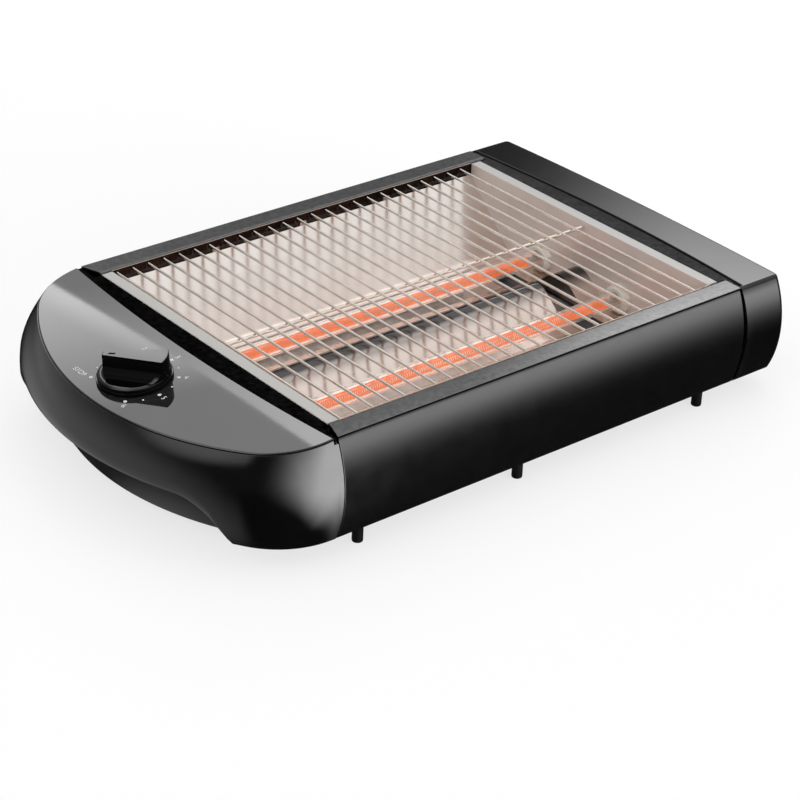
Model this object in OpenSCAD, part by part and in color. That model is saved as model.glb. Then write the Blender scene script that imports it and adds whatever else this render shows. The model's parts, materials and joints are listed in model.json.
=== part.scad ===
// Flat table-top toaster for bread rolls: an open wire grill over two glowing quartz tubes,
// with a rounded control housing at the front (-X) and a plain cap at the rear (+X).
// Millimetres, +Z up, origin under the middle of the toaster on the table.

/* [Body] */
// Length of the side panels between their two seams
body_l = 285; // [260:1:320]
// Width across the top edges of the side panels
body_w = 231; // [220:1:250]
// Height of the ledges above the table
body_h = 68; // [66:0.5:76]
// Height of the side panels
side_h = 58.8; // [57:0.2:62]
// Depth of the outward curve of the side panels
wall_bulge = 6.6; // [4:0.2:9]
// Outward lean of the side panels from top edge to lower edge
wall_lean = 1.4; // [0:0.2:3]
// Sheet thickness of the side panels
side_t = 1.2; // [0.8:0.1:1.6]
// Width of the inward flange along the foot of a side panel
flange_w = 12; // [10:0.5:14]
// Sheet thickness of the base plate
base_t = 1; // [0.8:0.1:1.5]
// Gap between casing pieces where they meet at a seam
seam_gap = 0.3; // [0.1:0.05:0.5]

/* [Front housing] */
// Length of the front housing from its seam to the front edge of the panel
housing_l = 69; // [64:0.5:80]
// Straight part of the housing behind its rounded corners
housing_straight = 2.5; // [1:0.5:6]
// Plan radius of the housing's corners
corner_r = 45; // [38:1:52]
// Depth of the outward curve of the wall at the front
front_bulge = 10.8; // [7:0.2:13]
// Wall thickness of the moulded casing pieces
shell_t = 2.5; // [2:0.1:3]
// Downward slope of the control panel toward the front, degrees
panel_slope = 7; // [4:0.5:9]
// Thickness of the control panel
panel_t = 2.5; // [2:0.1:3.5]
// Thickness of the control panel where it lies over the housing's wall
lid_t = 1; // [0.8:0.1:1.5]
// Gap round the control panel
panel_gap = 0.3; // [0.1:0.05:0.6]
// Width of the rim that carries the control panel
rim_w = 4; // [3:0.5:6]
// Inward bow of the edges that face the grill, in the middle
edge_bow = 5.5; // [3:0.5:7]

/* [Finger arch] */
// Distance of the arch's legs from the top edge lines of the side panels
arch_in = 25; // [22:0.5:32]
// Height of the arched opening
arch_h = 26.3; // [24:0.1:30]
// Corner radius of the arched opening
arch_r = 22; // [14:1:22]

/* [End cap] */
// Length of the end cap at its corners
cap_l = 30.2; // [28:0.2:40]
// Outward bow of the cap's rear edge in the middle
cap_bow = 2.8; // [1:0.2:5]
// How much further the cap's sides curve out than the side panels
cap_proud = 1.2; // [0.4:0.1:2.5]
// Hole in the rear wall for the cord bush
bush_hole_d = 11; // [9:0.5:14]
// Outer diameter of the cord bush's collar
bush_collar_d = 16; // [15:0.5:20]
// Passage through the cord bush
bush_bore_d = 7; // [5:0.5:8]

/* [Grill] */
// Diameter of the grill wires
wire_d = 1.6; // [1.2:0.1:2.2]
// Spacing of the grill wires
wire_pitch = 10.4; // [9:0.1:12]
// Depth of the wire centres below the ledges
wire_drop = 2.2; // [1.8:0.1:4]
// Distance from the front seam to the first wire
first_wire = 14.3; // [13.5:0.1:20]
// Diameter of the lengthwise support wire
support_d = 2; // [1.5:0.1:3]
// Length of the hooked ends of the support wire
support_hook = 6; // [4:0.5:10]
// Width of the flat ledge on top of a side rail
ledge_w = 11.5; // [9:0.5:14]
// Sheet thickness of the side rails
rail_t = 1.2; // [0.8:0.1:1.6]
// Height of the inner lip of a side rail
rail_lip = 10; // [8:0.5:12]
// Sheet thickness of the slotted combs
comb_t = 0.8; // [0.6:0.1:1]
// Height of the slotted combs
comb_h = 4.6; // [4.2:0.1:6]
// Number of clips along each rail
clip_count = 3; // [2:1:4]
// Spacing of the clips
clip_pitch = 65.5; // [50:0.5:70]
// Width of a clip
clip_w = 4.5; // [3:0.5:6]

/* [Reflector] */
// Depth of the reflector floor below the ledges
reflector_drop = 46; // [45:0.5:47]
// Width of the flat floor of the reflector
floor_w = 124; // [110:1:140]
// Height of the ridge along the middle of the reflector
ridge_h = 6; // [3:0.5:9]
// Width of the ridge at its foot
ridge_w = 24; // [16:1:36]
// Depth of the reflector's upper rims below the ledges
rim_drop = 8; // [7:0.5:10]
// Sheet thickness of the reflector and the end plates
sheet_t = 0.8; // [0.6:0.1:1.2]
// Distance from a seam to the end plate
plate_in = 11.5; // [10.5:0.5:12.5]
// Width of the flange on top of an end plate
plate_flange = 6; // [5:0.5:7]
// Width of the foot of an end plate
plate_foot = 9; // [8:0.5:10]
// Width of the crumb opening across the reflector floor
slot_w = 17.5; // [10:0.5:20]
// Length of the crumb opening
slot_l = 108; // [80:1:116]
// Distance from the rear end plate to the crumb opening
slot_in = 17; // [14:1:30]

/* [Heater] */
// Distance between the two heating tubes
tube_gap = 68; // [60:1:76]
// Depth of the tube axes below the ledges
tube_drop = 37; // [36:0.5:38]
// Outer diameter of the quartz tubes
tube_d = 10; // [8:0.5:11]
// Wall thickness of the quartz tubes
tube_wall = 1; // [0.8:0.1:1.4]
// Outer diameter of the heating coils
coil_d = 6; // [5:0.2:6]
// Thickness of the coil winding
coil_t = 0.7; // [0.5:0.1:1]
// Diameter of the ceramic holders' collars
holder_d = 18; // [16:0.5:20]
// Thickness of the ceramic holders' collars
holder_collar = 3; // [2:0.5:4]
// Diameter of a holder's body behind the end plate
holder_body_d = 13; // [12.5:0.5:14]
// Length of a holder's body behind the end plate
holder_body_l = 10; // [8:0.5:12]
// Diameter of the contact pins
pin_d = 3; // [2.5:0.1:3.4]
// Length of a contact pin behind its holder
pin_out = 9; // [8:0.5:12]

/* [Crumb tray] */
// Distance of the pan's edges from the sides of the trough
tray_margin = 17.4; // [16:0.2:28]
// Height of the pan's rim
tray_rim = 7; // [5:0.5:8]
// Sheet thickness of the pan
tray_t = 0.8; // [0.6:0.1:1]
// Distance from the rear end plate to the end of the pan
tray_in = 12; // [8:1:30]
// Thickness of the tray's front piece
tray_front_t = 3; // [2.5:0.1:4]
// How far the front piece stands out at its top edge
tray_front_out = 8.5; // [6:0.5:9]
// How far the front piece is set back at its foot
tray_front_in = 9; // [6:0.5:12]
// Running gap round the tray
tray_clear = 0.4; // [0.3:0.05:0.8]

/* [Timer] */
// Distance from the front seam to the knob's axis
knob_in = 41.5; // [38:0.5:44]
// Diameter of the knob's skirt
knob_d = 40; // [36:0.5:44]
// Height of the knob's skirt
skirt_h = 4; // [3:0.5:6]
// Height of the knob's grip above the skirt
grip_h = 9.2; // [8:0.1:15]
// Width of the grip along the middle of its top
grip_w = 8.8; // [6:0.1:10]
// Length of the grip
grip_l = 34.7; // [30:0.1:35]
// Shift of the grip away from the pointer
grip_back = 1.6; // [0:0.1:2]
// Slant of each flank of the grip, which is wider at its tail, degrees
grip_taper = 5.5; // [0:0.5:8]
// Gap under the knob
knob_gap = 0.5; // [0.3:0.1:1]
// Angle of the knob's pointer to the lengthwise axis at rest, degrees
stop_angle = 131; // [120:1:150]
// Diameter of the timer shaft
shaft_d = 6; // [5:0.5:7]
// Running clearance between the shaft and its bush, on the radius
shaft_clear = 0.05; // [0.02:0.01:0.08]
// Outer diameter of the timer's bush
timer_bush_d = 10; // [9:0.5:12]
// Length of the timer
timer_l = 40; // [38:1:42]
// Width of the timer
timer_w = 38; // [36:1:44]
// Height of the timer
timer_h = 24; // [20:0.5:25]
// Diameter of the timer's bell
bell_d = 30; // [24:1:34]
// Height of the timer's bell
bell_h = 7; // [5:0.5:7]

/* [Feet and fasteners] */
// Diameter of the feet
foot_d = 6; // [5:0.5:7]
// Distance from the front seam to the front feet
foot_front = 17; // [14:0.5:30]
// Distance from the front seam to the middle feet
foot_middle = 125.5; // [100:0.5:150]
// Distance from the front seam to the rear feet
foot_rear = 261; // [230:0.5:262]
// Distance of the feet from the top edge line of the side panel
foot_in = 2.5; // [2:0.1:4]
// Diameter of the screws
screw_d = 3; // [2.5:0.1:3.5]
// Diameter of the screw heads
head_d = 5.6; // [5:0.1:6.5]
// Height of the screw heads
head_h = 2; // [1.5:0.1:2.5]
// Diameter of the screw bosses
boss_d = 9; // [8:0.5:10]
// Height of the screw bosses
boss_h = 24; // [18:1:30]
// Depth of the casing screws in their bosses
casing_bite = 14; // [8:0.5:16]
// Distance from a seam to the screw bosses
boss_out = 9.5; // [8:0.5:12]
// Distance of the screw bosses from the top edge line of the side panel
boss_in = 19.5; // [18.5:0.5:20]
// Diameter of the insulated leads
lead_d = 2.4; // [1.8:0.1:2.6]
// Clearance of bolts, wires and pins in their holes, on the radius
hole_clear = 0.1; // [0.05:0.05:0.2]

/* [Hidden] */

$fn = 96;
large_fn = 1440;
eps = 0.01;
far = 400;

half_w = body_w / 2;
seam_x = body_l / 2;
side_z = body_h - side_h;
base_z = side_z + side_t;
base_top = base_z + base_t;
rear_x = seam_x + cap_l + cap_bow;
cap_core = 40;

// Curved wall: the arc that a section of the side panel follows
chord = sqrt(side_h * side_h + wall_lean * wall_lean);
function arc_r(length, rise) = (length * length / 4 + rise * rise) / (2 * rise);

// Front housing in plan: two corner arcs that run into one front arc
corner_x = -seam_x - housing_straight;
corner_y = half_w - corner_r;
front_depth = housing_l - housing_straight;
front_back = (corner_y * corner_y - pow(front_depth - corner_r, 2)) / (2 * (front_depth - corner_r));
front_r = front_back + front_depth;
front_x = corner_x + front_back;
arc_split = atan2(corner_y, front_back);
arch_w = body_w - 2 * arch_in;
arch_top = side_z + arch_h;

// Inner edges of the control panel and of the cap's top, both bowed away from the grill
edge_r = arc_r(body_w, edge_bow);
panel_edge_x = corner_x - edge_bow;
cap_edge_x = seam_x + housing_straight + edge_bow;

// Shift that puts the middle of the toaster on the origin
function wall_out(t, bulge) = wall_lean * t + 4 * bulge * t * (1 - t);
function panel_z(x) = body_h + (x + seam_x) * tan(panel_slope);
arch_share = (panel_z(-seam_x - housing_l) - arch_top) / (panel_z(-seam_x - housing_l) - side_z);
front_reach = seam_x + housing_l + wall_out(arch_share, front_bulge);
mid_x = (front_reach - rear_x) / 2;

// Grill, rails and combs across the width
rail_out = half_w - side_t - seam_gap;
rail_in = rail_out - ledge_w;
comb_in = rail_in - hole_clear - comb_t;
tray_half = comb_in - 2 * hole_clear;
wire_z = body_h - wire_drop;
wire_count = 1 + floor((body_l - 2 * first_wire) / wire_pitch);
first_wire_x = -seam_x + first_wire;
support_z = wire_z - (wire_d + support_d) / 2 - hole_clear;

// Reflector trough and end plates
plate_x = seam_x - plate_in;
floor_z = body_h - reflector_drop;
plate_top = body_h - 0.8;
strip_x = plate_x + sheet_t + plate_flange + seam_gap;
strip_t = 2;
strip_drop = 1;
strip_skirt = 9;

// Heating tubes
tube_y = tube_gap / 2;
tube_z = body_h - tube_drop;
holder_seat = 6;
tube_end = plate_x + holder_seat - holder_collar;
coil_end = plate_x - holder_collar - 9;
pin_end = plate_x + sheet_t + holder_body_l + pin_out;
pin_hold = 8;

// Crumb tray
pan_z = base_top + 0.3;
pan_rear = plate_x - tray_in;
pan_half = tray_half - tray_margin;
tray_w = 2 * pan_half;
pan_front_r = front_r - tray_front_in - tray_front_t;
tray_foot = side_z + 0.3;
tray_screw_z = pan_z + tray_t + head_d / 2 + 2 * hole_clear;
guide_t = 1;
guide_w = 5;
guide_h = 6;
gate_half = pan_half + tray_clear + guide_t + 1;
gate_top = pan_z + tray_rim + 1.2;

// Timer, in the frame of the sloped panel at the knob
panel_hole_d = timer_bush_d + 0.6;
timer_top = -panel_t - hole_clear;
timer_foot = timer_top - timer_h;
shaft_low = timer_top - 12;
shaft_top = knob_gap + skirt_h + 6;
timer_screw_r = 13;
knob_well = 2.4;

// Terminal block, bush and leads in the rear compartment
block_l = 16;
block_w = 36;
block_h = 14;
block_x = plate_x + plate_foot + block_l / 2 + 1;
block_y = half_w - 53.5;
port_pitch = 12;
bush_y = block_y;
bush_z = side_z + 22;
bush_recess = 1;
lead_y = tray_half - 5;
lead_z = base_top + lead_d / 2 + hole_clear;
lead_gap = pin_d / 2 + lead_d / 2 + hole_clear;
pin_lead_x = pin_end - 3;
fuse_d = 4;
fuse_l = 12;
fuse_z = tube_z + 15;
fuse_x = plate_x + sheet_t + fuse_d / 2 + hole_clear;

gloss_black = [0.05, 0.05, 0.055];
matt_black = [0.1, 0.1, 0.1];
grey_paint = [0.45, 0.45, 0.45];
bright_steel = [0.8, 0.8, 0.82];
polished = [0.85, 0.8, 0.78];

// Places children in the shared frame
module placed() {
    translate([mid_x, 0, 0]) children();
}

// Repeats children on both sides of the lengthwise middle plane
module both_sides() {
    children();
    mirror([0, 1, 0]) children();
}

// Extrudes a section drawn across the width along the toaster, between two x values
module along(x0, x1) {
    translate([x0, 0, 0]) rotate([90, 0, 90]) linear_extrude(x1 - x0) children();
}

// Places children in the frame of the control panel, on the knob's axis
module on_panel() {
    translate([-seam_x - knob_in, 0, panel_z(-seam_x - knob_in)]) rotate([0, -panel_slope, 0]) children();
}

// Screw with its head on the side that children's +Z points to
module screw(length) {
    translate([0, 0, -length]) cylinder(d = screw_d, h = length);
    cylinder(d = head_d, h = head_h);
}

module screw_hole(length) {
    cylinder(d = screw_d + 2 * hole_clear, h = length, center = true);
}

// Disc whose edge is the outer curve of the wall on the +Y side
module wall_disc(bulge, grow) {
    r = arc_r(chord, bulge);
    back = (r - bulge) / chord;
    translate([half_w + wall_lean / 2 - side_h * back, side_z + side_h / 2 - wall_lean * back])
        circle(r + grow, $fn = 360);
}

module side_band(low, high) {
    translate([-far, low]) square([2 * far, high - low]);
}

// Full section across the toaster inside its curved walls
module body_section(bulge, grow) {
    intersection() {
        union() {
            wall_disc(bulge, grow);
            mirror([1, 0]) wall_disc(bulge, grow);
            translate([-half_w + cap_core, 0]) square([body_w - 2 * cap_core, far]);
        }
        side_band(side_z, body_h + grow);
    }
}

// Outline of the front housing in plan, grown or shrunk by an offset
module front_plan(grow) {
    joint = [front_x - (front_r + grow) * cos(arc_split), (front_r + grow) * sin(arc_split)];
    intersection() {
        union() {
            for (side = [-1, 1])
                translate([corner_x, side * corner_y]) circle(corner_r + grow);
            intersection() {
                translate([front_x, 0]) circle(front_r + grow, $fn = 360);
                polygon([[front_x, 0], [front_x - far, far * tan(arc_split)], [front_x - far, -far * tan(arc_split)]]);
            }
            polygon([joint, [corner_x, half_w + grow], [-seam_x, half_w + grow],
                [-seam_x, -half_w - grow], [corner_x, -half_w - grow], [joint.x, -joint.y]]);
        }
        translate([-seam_x - far, -far]) square([far, 2 * far]);
    }
}

// Slab parallel to the control panel, between two depths under its face
module panel_slab(top, bottom) {
    translate([-seam_x, 0, body_h]) rotate([0, -panel_slope, 0])
        translate([-far / 2, -far / 2, -bottom]) cube([far, far, bottom - top]);
}

// Disc that cuts the bowed inner edge: everything on the grill's side of the edge
module edge_cut(clear) {
    translate([panel_edge_x + edge_r, 0, 0]) cylinder(r = edge_r + clear, h = far, $fn = large_fn);
}

// Angles round the front, from the left seam to the right one
corner_steps = 12;
front_steps = 18;
front_angles = concat([for (i = [0 : corner_steps]) 90 - i * (90 - arc_split) / corner_steps],
    [for (i = [1 : front_steps]) arc_split - 2 * arc_split * i / front_steps],
    [for (i = [1 : corner_steps]) -arc_split - i * (90 - arc_split) / corner_steps]);
function plan_point(a, r_add) = abs(a) > arc_split + eps
    ? [corner_x - (corner_r + r_add) * cos(a), sign(a) * corner_y + (corner_r + r_add) * sin(a)]
    : [front_x - (front_r + r_add) * cos(a), (front_r + r_add) * sin(a)];
function front_wall_bulge(a) = wall_bulge + (front_bulge - wall_bulge) * cos(a);
function front_wall_point(a, t, grow) =
    let (base = plan_point(a, grow), p = plan_point(a, grow + wall_out(t, front_wall_bulge(a))))
    [p.x, p.y, panel_z(base.x) * (1 - t) + side_z * t];
function seam_point(side, t, grow, back) =
    [-seam_x + back, side * (half_w + grow + wall_out(t, wall_bulge)),
        panel_z(-seam_x + back) * (1 - t) + side_z * t];

// Solid inside the curved front wall, from share t0 of its height to share t1
module front_solid(grow, t0, t1, levels, back) {
    shares = [for (k = [0 : levels]) t0 + (t1 - t0) * k / levels];
    count = len(front_angles) + 2;
    points = [for (t = shares) each concat([seam_point(1, t, grow, back)],
        [for (a = front_angles) front_wall_point(a, t, grow)], [seam_point(-1, t, grow, back)])];
    sides = [for (k = [0 : levels - 1], i = [0 : count - 1])
        let (j = (i + 1) % count, a = k * count, b = a + count)
        each [[a + i, a + j, b + j], [a + i, b + j, b + i]]];
    top = [for (i = [count - 1 : -1 : 0]) i];
    bottom = [for (i = [0 : count - 1]) levels * count + i];
    polyhedron(points, concat(sides, [top], [bottom]));
}

// Arched opening in the front wall, drawn across the width
module arch_section(clear) {
    w = arch_w / 2 - clear;
    top = arch_top - clear;
    r = arch_r - clear;
    translate([-w, side_z - clear]) square([2 * w, top - r - side_z + clear]);
    translate([-w + r, side_z - clear]) square([2 * (w - r), top - side_z + clear]);
    for (side = [-1, 1])
        translate([side * (w - r), top - r]) circle(r);
}

// Boss that stands on the base plate, tied to the curved wall by a rib
module casing_boss(x, bulge, bite) {
    boss_y = half_w - boss_in;
    both_sides() difference() {
        union() {
            translate([x, boss_y, base_top]) cylinder(d = boss_d, h = boss_h);
            along(x - 1.5, x + 1.5) intersection() {
                wall_disc(bulge, -bite);
                translate([boss_y, base_top]) square([far, boss_h]);
            }
        }
        translate([x, boss_y, base_top]) screw_hole(1.5 * boss_h);
    }
}

// Hollow front moulding that carries the control panel, arched at its foot
module front_housing() color(gloss_black) placed() {
    rim_bite = 1;
    difference() {
        front_solid(0, 0, 1, 12, -seam_gap);
        front_solid(-shell_t, -0.08, 1.08, 12, 1);
        panel_slab(-far, lid_t + panel_gap);
        translate([corner_x - seam_gap, -far / 2, body_h - strip_drop - strip_t - seam_gap])
            cube([far, far, far]);
        translate([0, 0, -far / 2]) along(-far, -seam_x - 30) arch_cutter();
    }
    intersection() {
        linear_extrude(far) difference() {
            front_plan(rim_bite);
            front_plan(-shell_t - rim_w);
        }
        panel_slab(panel_t + hole_clear, panel_t + hole_clear + 2);
        translate([-far - seam_x - rim_w, -far, 0]) cube([far, 2 * far, far]);
    }
    casing_boss(-seam_x - boss_out, wall_bulge, shell_t / 2);
}

// The arch carried down below the table, raised to suit the extrusion above
module arch_cutter() {
    translate([0, far / 2]) {
        arch_section(0);
        translate([-arch_w / 2, -far / 4]) square([arch_w, far / 4 + side_z + eps]);
    }
}

// Sloped control panel with the hole for the timer's bush
module control_panel() color([0.3, 0.3, 0.31]) placed() {
    difference() {
        union() {
            intersection() {
                front_solid(0, 0, 1, 12, -seam_gap);
                panel_slab(-far, lid_t);
            }
            intersection() {
                linear_extrude(far) front_plan(-shell_t - panel_gap);
                panel_slab(lid_t / 2, panel_t);
            }
        }
        edge_cut(0);
        on_panel() {
            cylinder(d = panel_hole_d, h = 4 * panel_t, center = true);
            for (side = [-1, 1])
                translate([side * timer_screw_r, 0, 0]) screw_hole(4 * panel_t);
        }
    }
}

// Lens-shaped strip between a bowed edge and the end of the grill, seen as at the front
module trim_strip() {
    top = body_h - strip_drop;
    difference() {
        translate([0, 0, top - strip_t]) linear_extrude(strip_t) union() {
            translate([-seam_x - 2 * edge_bow, -tray_half])
                square([seam_x + 2 * edge_bow - strip_x, 2 * tray_half]);
            translate([-seam_x - 2 * edge_bow, -half_w + seam_gap])
                square([2 * edge_bow - seam_gap, body_w - 2 * seam_gap]);
        }
        difference() {
            translate([-far, -far, 0]) cube([far, 2 * far, far]);
            edge_cut(-seam_gap);
        }
    }
    translate([-strip_x - strip_t, -tray_half, top - strip_t - strip_skirt])
        cube([strip_t, 2 * tray_half, strip_skirt + eps]);
}

module front_trim_strip() color(matt_black) placed() trim_strip();

module rear_trim_strip() color(matt_black) placed() mirror([1, 0, 0]) trim_strip();

// Space inside the cap's curved sides and bowed rear wall
module cap_solid(grow, x0) {
    bow_r = arc_r(body_w, cap_bow);
    intersection() {
        along(x0, rear_x + 5) body_section(wall_bulge + cap_proud, grow);
        translate([rear_x - bow_r, 0, 0]) cylinder(r = bow_r + grow, h = far, $fn = large_fn);
    }
}

// Plain cap over the rear end, open below and toward the grill
module end_cap() color(gloss_black) placed() {
    difference() {
        cap_solid(0, seam_x + seam_gap);
        translate([0, 0, -eps]) cap_solid(-shell_t, seam_x);
        translate([0, 0, body_h - shell_t - 1]) linear_extrude(far)
            mirror([1, 0]) projection_of_edge();
        translate([rear_x - far / 2, bush_y, bush_z]) rotate([0, 90, 0]) cylinder(d = bush_hole_d, h = far);
        translate([bush_seat_x(), bush_y, bush_z]) rotate([0, 90, 0])
            cylinder(d = bush_collar_d + 2 * hole_clear, h = far);
    }
    casing_boss(seam_x + boss_out, wall_bulge + cap_proud, shell_t / 2);
}

// Grill side of the bowed edge in plan, as seen at the front
module projection_of_edge() {
    translate([panel_edge_x + edge_r, 0]) circle(r = edge_r, $fn = large_fn);
}

// Rear wall's outer face at the cord bush, less the recess for its collar
function bush_seat_x() = let (r = arc_r(body_w, cap_bow))
    rear_x - r + sqrt(r * r - pow(bush_y + bush_collar_d / 2, 2)) - bush_recess;

// Places children at each foot of the +Y side
module at_feet() {
    for (x = [foot_front, foot_middle, foot_rear])
        translate([x - seam_x, half_w - foot_in, 0]) children();
}

// Side panel: curved sheet with a flange along its foot
module side_panel() {
    difference() {
        along(-seam_x + seam_gap, seam_x - seam_gap) {
            intersection() {
                difference() {
                    wall_disc(wall_bulge, 0);
                    wall_disc(wall_bulge, -side_t);
                }
                side_band(side_z, body_h);
                translate([half_w - 20, 0]) square([40, far]);
            }
            translate([half_w + wall_lean - flange_w, side_z]) square([flange_w - side_t / 2, side_t]);
        }
        at_feet() translate([0, 0, base_z]) screw_hole(8 * side_t);
    }
}

module side_panel_left() color(gloss_black) placed() side_panel();

module side_panel_right() color(gloss_black) placed() mirror([0, 1, 0]) side_panel();

// Side rail: the flat ledge with an inner lip that holds the wires' ends
module side_rail() {
    difference() {
        along(-seam_x + seam_gap, seam_x - seam_gap) {
            translate([rail_in, body_h - rail_t]) square([ledge_w, rail_t]);
            translate([rail_in, body_h - rail_lip]) square([rail_t, rail_lip]);
            translate([rail_out - rail_t, body_h - rail_lip / 2]) square([rail_t, rail_lip / 2]);
        }
        for (i = [0 : wire_count - 1])
            translate([first_wire_x + i * wire_pitch, rail_in, wire_z]) rotate([90, 0, 0])
                cylinder(d = wire_d + 2 * hole_clear, h = 4 * rail_t, center = true);
    }
}

module side_rail_left() color(grey_paint) placed() side_rail();

module side_rail_right() color(grey_paint) placed() mirror([0, 1, 0]) side_rail();

// Comb: strip with a notch for each wire, open below
module wire_comb() {
    notch_w = wire_d + 4 * hole_clear;
    top = body_h - 0.6;
    difference() {
        translate([-plate_x, comb_in, top - comb_h]) cube([2 * plate_x, comb_t, comb_h]);
        for (i = [0 : wire_count - 1])
            translate([first_wire_x + i * wire_pitch - notch_w / 2, comb_in - 1, top - comb_h - 1])
                cube([notch_w, comb_t + 2, wire_z + notch_w / 2 - top + comb_h + 1]);
    }
}

module wire_comb_left() color(polished) placed() wire_comb();

module wire_comb_right() color(polished) placed() mirror([0, 1, 0]) wire_comb();

// Spring clips that press the reflector's rims to the rails, midway between two wires
module rail_clips() color(bright_steel) placed() both_sides() {
    clip_t = 0.6;
    top = body_h - 0.6 - comb_h - hole_clear;
    for (i = [0 : clip_count - 1]) {
        step = round((i - (clip_count - 1) / 2) * clip_pitch / wire_pitch + (wire_count - 1) / 2);
        translate([first_wire_x + (step + 0.5) * wire_pitch - clip_w / 2, 0, 0]) {
            translate([0, rail_in - hole_clear - clip_t, body_h - rail_lip])
                cube([clip_w, clip_t, top - body_h + rail_lip]);
            translate([0, rail_in - hole_clear - clip_t, body_h - rail_lip - hole_clear - clip_t])
                cube([clip_w, rail_t + 2 * hole_clear + 2 * clip_t, clip_t]);
            translate([0, rail_in - hole_clear - clip_t, body_h - rail_lip - hole_clear - clip_t])
                cube([clip_w, clip_t, 2 * clip_t]);
            translate([0, rail_in + rail_t + hole_clear, body_h - rail_lip - hole_clear - clip_t])
                cube([clip_w, clip_t, 4]);
        }
    }
}

// Row of grill wires across the trough
module grill_wires() color(bright_steel) placed() {
    for (i = [0 : wire_count - 1])
        translate([first_wire_x + i * wire_pitch, 0, wire_z]) rotate([90, 0, 0])
            cylinder(d = wire_d, h = 2 * (rail_in + rail_t), center = true);
}

// Lengthwise wire under the grill, hooked through both end plates
module support_wire() color(bright_steel) placed() {
    reach = plate_x + sheet_t + support_d;
    translate([-reach, 0, support_z]) rotate([0, 90, 0]) cylinder(d = support_d, h = 2 * reach);
    for (side = [-1, 1])
        translate([side * reach, 0, support_z]) {
            sphere(d = support_d);
            translate([0, 0, -support_hook]) cylinder(d = support_d, h = support_hook);
        }
}

// Reflector: polished trough with sloped sides and a ridge between the tubes
module reflector() color(polished) placed() {
    side_y = rail_in - 2 * hole_clear - 0.6;
    rise = [[side_y, body_h - rim_drop], [floor_w / 2, floor_z], [ridge_w / 2, floor_z], [0, floor_z + ridge_h]];
    face = concat(rise, [for (i = [2 : -1 : 0]) [-rise[i].x, rise[i].y]]);
    back = [for (i = [len(face) - 1 : -1 : 0]) face[i] - [0, sheet_t]];
    end_x = plate_x - hole_clear;
    difference() {
        along(-end_x, end_x) polygon(concat(face, back));
        translate([plate_x - slot_in - slot_w, -slot_l / 2, floor_z - 2 * sheet_t])
            cube([slot_w, slot_l, 4 * sheet_t + ridge_h]);
    }
}

// End plate of the trough, seen as at the rear, with its top flange and foot
module end_plate(gate) {
    difference() {
        union() {
            translate([plate_x, -tray_half, base_top]) cube([sheet_t, 2 * tray_half, plate_top - base_top]);
            translate([plate_x, -tray_half, plate_top - sheet_t])
                cube([sheet_t + plate_flange, 2 * tray_half, sheet_t]);
            translate([plate_x, -tray_half, base_top]) cube([plate_foot, 2 * tray_half, sheet_t]);
        }
        if (gate)
            translate([plate_x - 1, -gate_half, base_top - 1]) cube([plate_foot + 2, 2 * gate_half, gate_top - base_top + 1]);
        for (side = [-1, 1]) {
            translate([plate_x, side * tube_y, tube_z]) rotate([0, 90, 0])
                cylinder(d = holder_body_d + 2 * hole_clear, h = 4 * sheet_t, center = true);
            translate([plate_x + plate_screw_x, side * plate_screw_y, base_top]) screw_hole(4 * sheet_t);
        }
        translate([plate_x, 0, support_z]) rotate([0, 90, 0])
            cylinder(d = support_d + 2 * hole_clear, h = 4 * sheet_t, center = true);
        translate([plate_x - 1, lead_y - lead_d, base_top - 1])
            cube([plate_foot + 2, 2 * lead_d, 1 + lead_d + 4 * hole_clear]);
    }
}
plate_screw_x = 5.2;
plate_screw_y = (gate_half + lead_y - lead_d) / 2;

module rear_end_plate() color(polished) placed() end_plate(false);

module front_end_plate() color(polished) placed() mirror([1, 0, 0]) end_plate(true);

// Clear quartz tube along the trough
module heating_tube() {
    translate([0, tube_y, tube_z]) rotate([0, 90, 0]) difference() {
        cylinder(d = tube_d, h = 2 * tube_end, center = true);
        cylinder(d = tube_d - 2 * tube_wall, h = far, center = true);
    }
}

module heating_tube_left() color([0.9, 0.85, 0.8, 0.6]) placed() heating_tube();

module heating_tube_right() color([0.9, 0.85, 0.8, 0.6]) placed() mirror([0, 1, 0]) heating_tube();

// Heating coil, drawn as the sleeve that its close turns fill
module heating_coil() {
    translate([0, tube_y, tube_z]) rotate([0, 90, 0]) difference() {
        cylinder(d = coil_d, h = 2 * coil_end, center = true);
        cylinder(d = coil_d - 2 * coil_t, h = far, center = true);
    }
}

module heating_coil_left() color([0.95, 0.4, 0.15]) placed() heating_coil();

module heating_coil_right() color([0.95, 0.4, 0.15]) placed() mirror([0, 1, 0]) heating_coil();

// Ceramic holder on the inner face of an end plate, seen as at the rear
module tube_holders() {
    for (side = [-1, 1])
        translate([plate_x, side * tube_y, tube_z]) rotate([0, 90, 0]) difference() {
            union() {
                translate([0, 0, -holder_collar - hole_clear]) cylinder(d = holder_d, h = holder_collar);
                translate([0, 0, -holder_collar]) cylinder(d = holder_body_d, h = holder_collar + sheet_t + holder_body_l);
            }
            translate([0, 0, -holder_collar - 1])
                cylinder(d = tube_d + 2 * hole_clear, h = 1 + holder_seat + hole_clear);
            cylinder(d = pin_d + 2 * hole_clear, h = far, center = true);
        }
}

module tube_holders_rear() color([0.93, 0.9, 0.82]) placed() tube_holders();

module tube_holders_front() color([0.93, 0.9, 0.82]) placed() mirror([1, 0, 0]) tube_holders();

// Contact pins that plug into the coils' ends and pass out through the holders
module contact_pins() color(bright_steel) placed() {
    plug_d = coil_d - 2 * coil_t - 2 * hole_clear;
    for (end = [0, 1], side = [-1, 1])
        mirror([end, 0, 0]) translate([0, side * tube_y, tube_z]) rotate([0, 90, 0]) {
            translate([0, 0, coil_end - pin_hold]) cylinder(d = plug_d, h = pin_hold + 2);
            translate([0, 0, coil_end]) cylinder(d = pin_d, h = pin_end - coil_end);
        }
}

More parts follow.
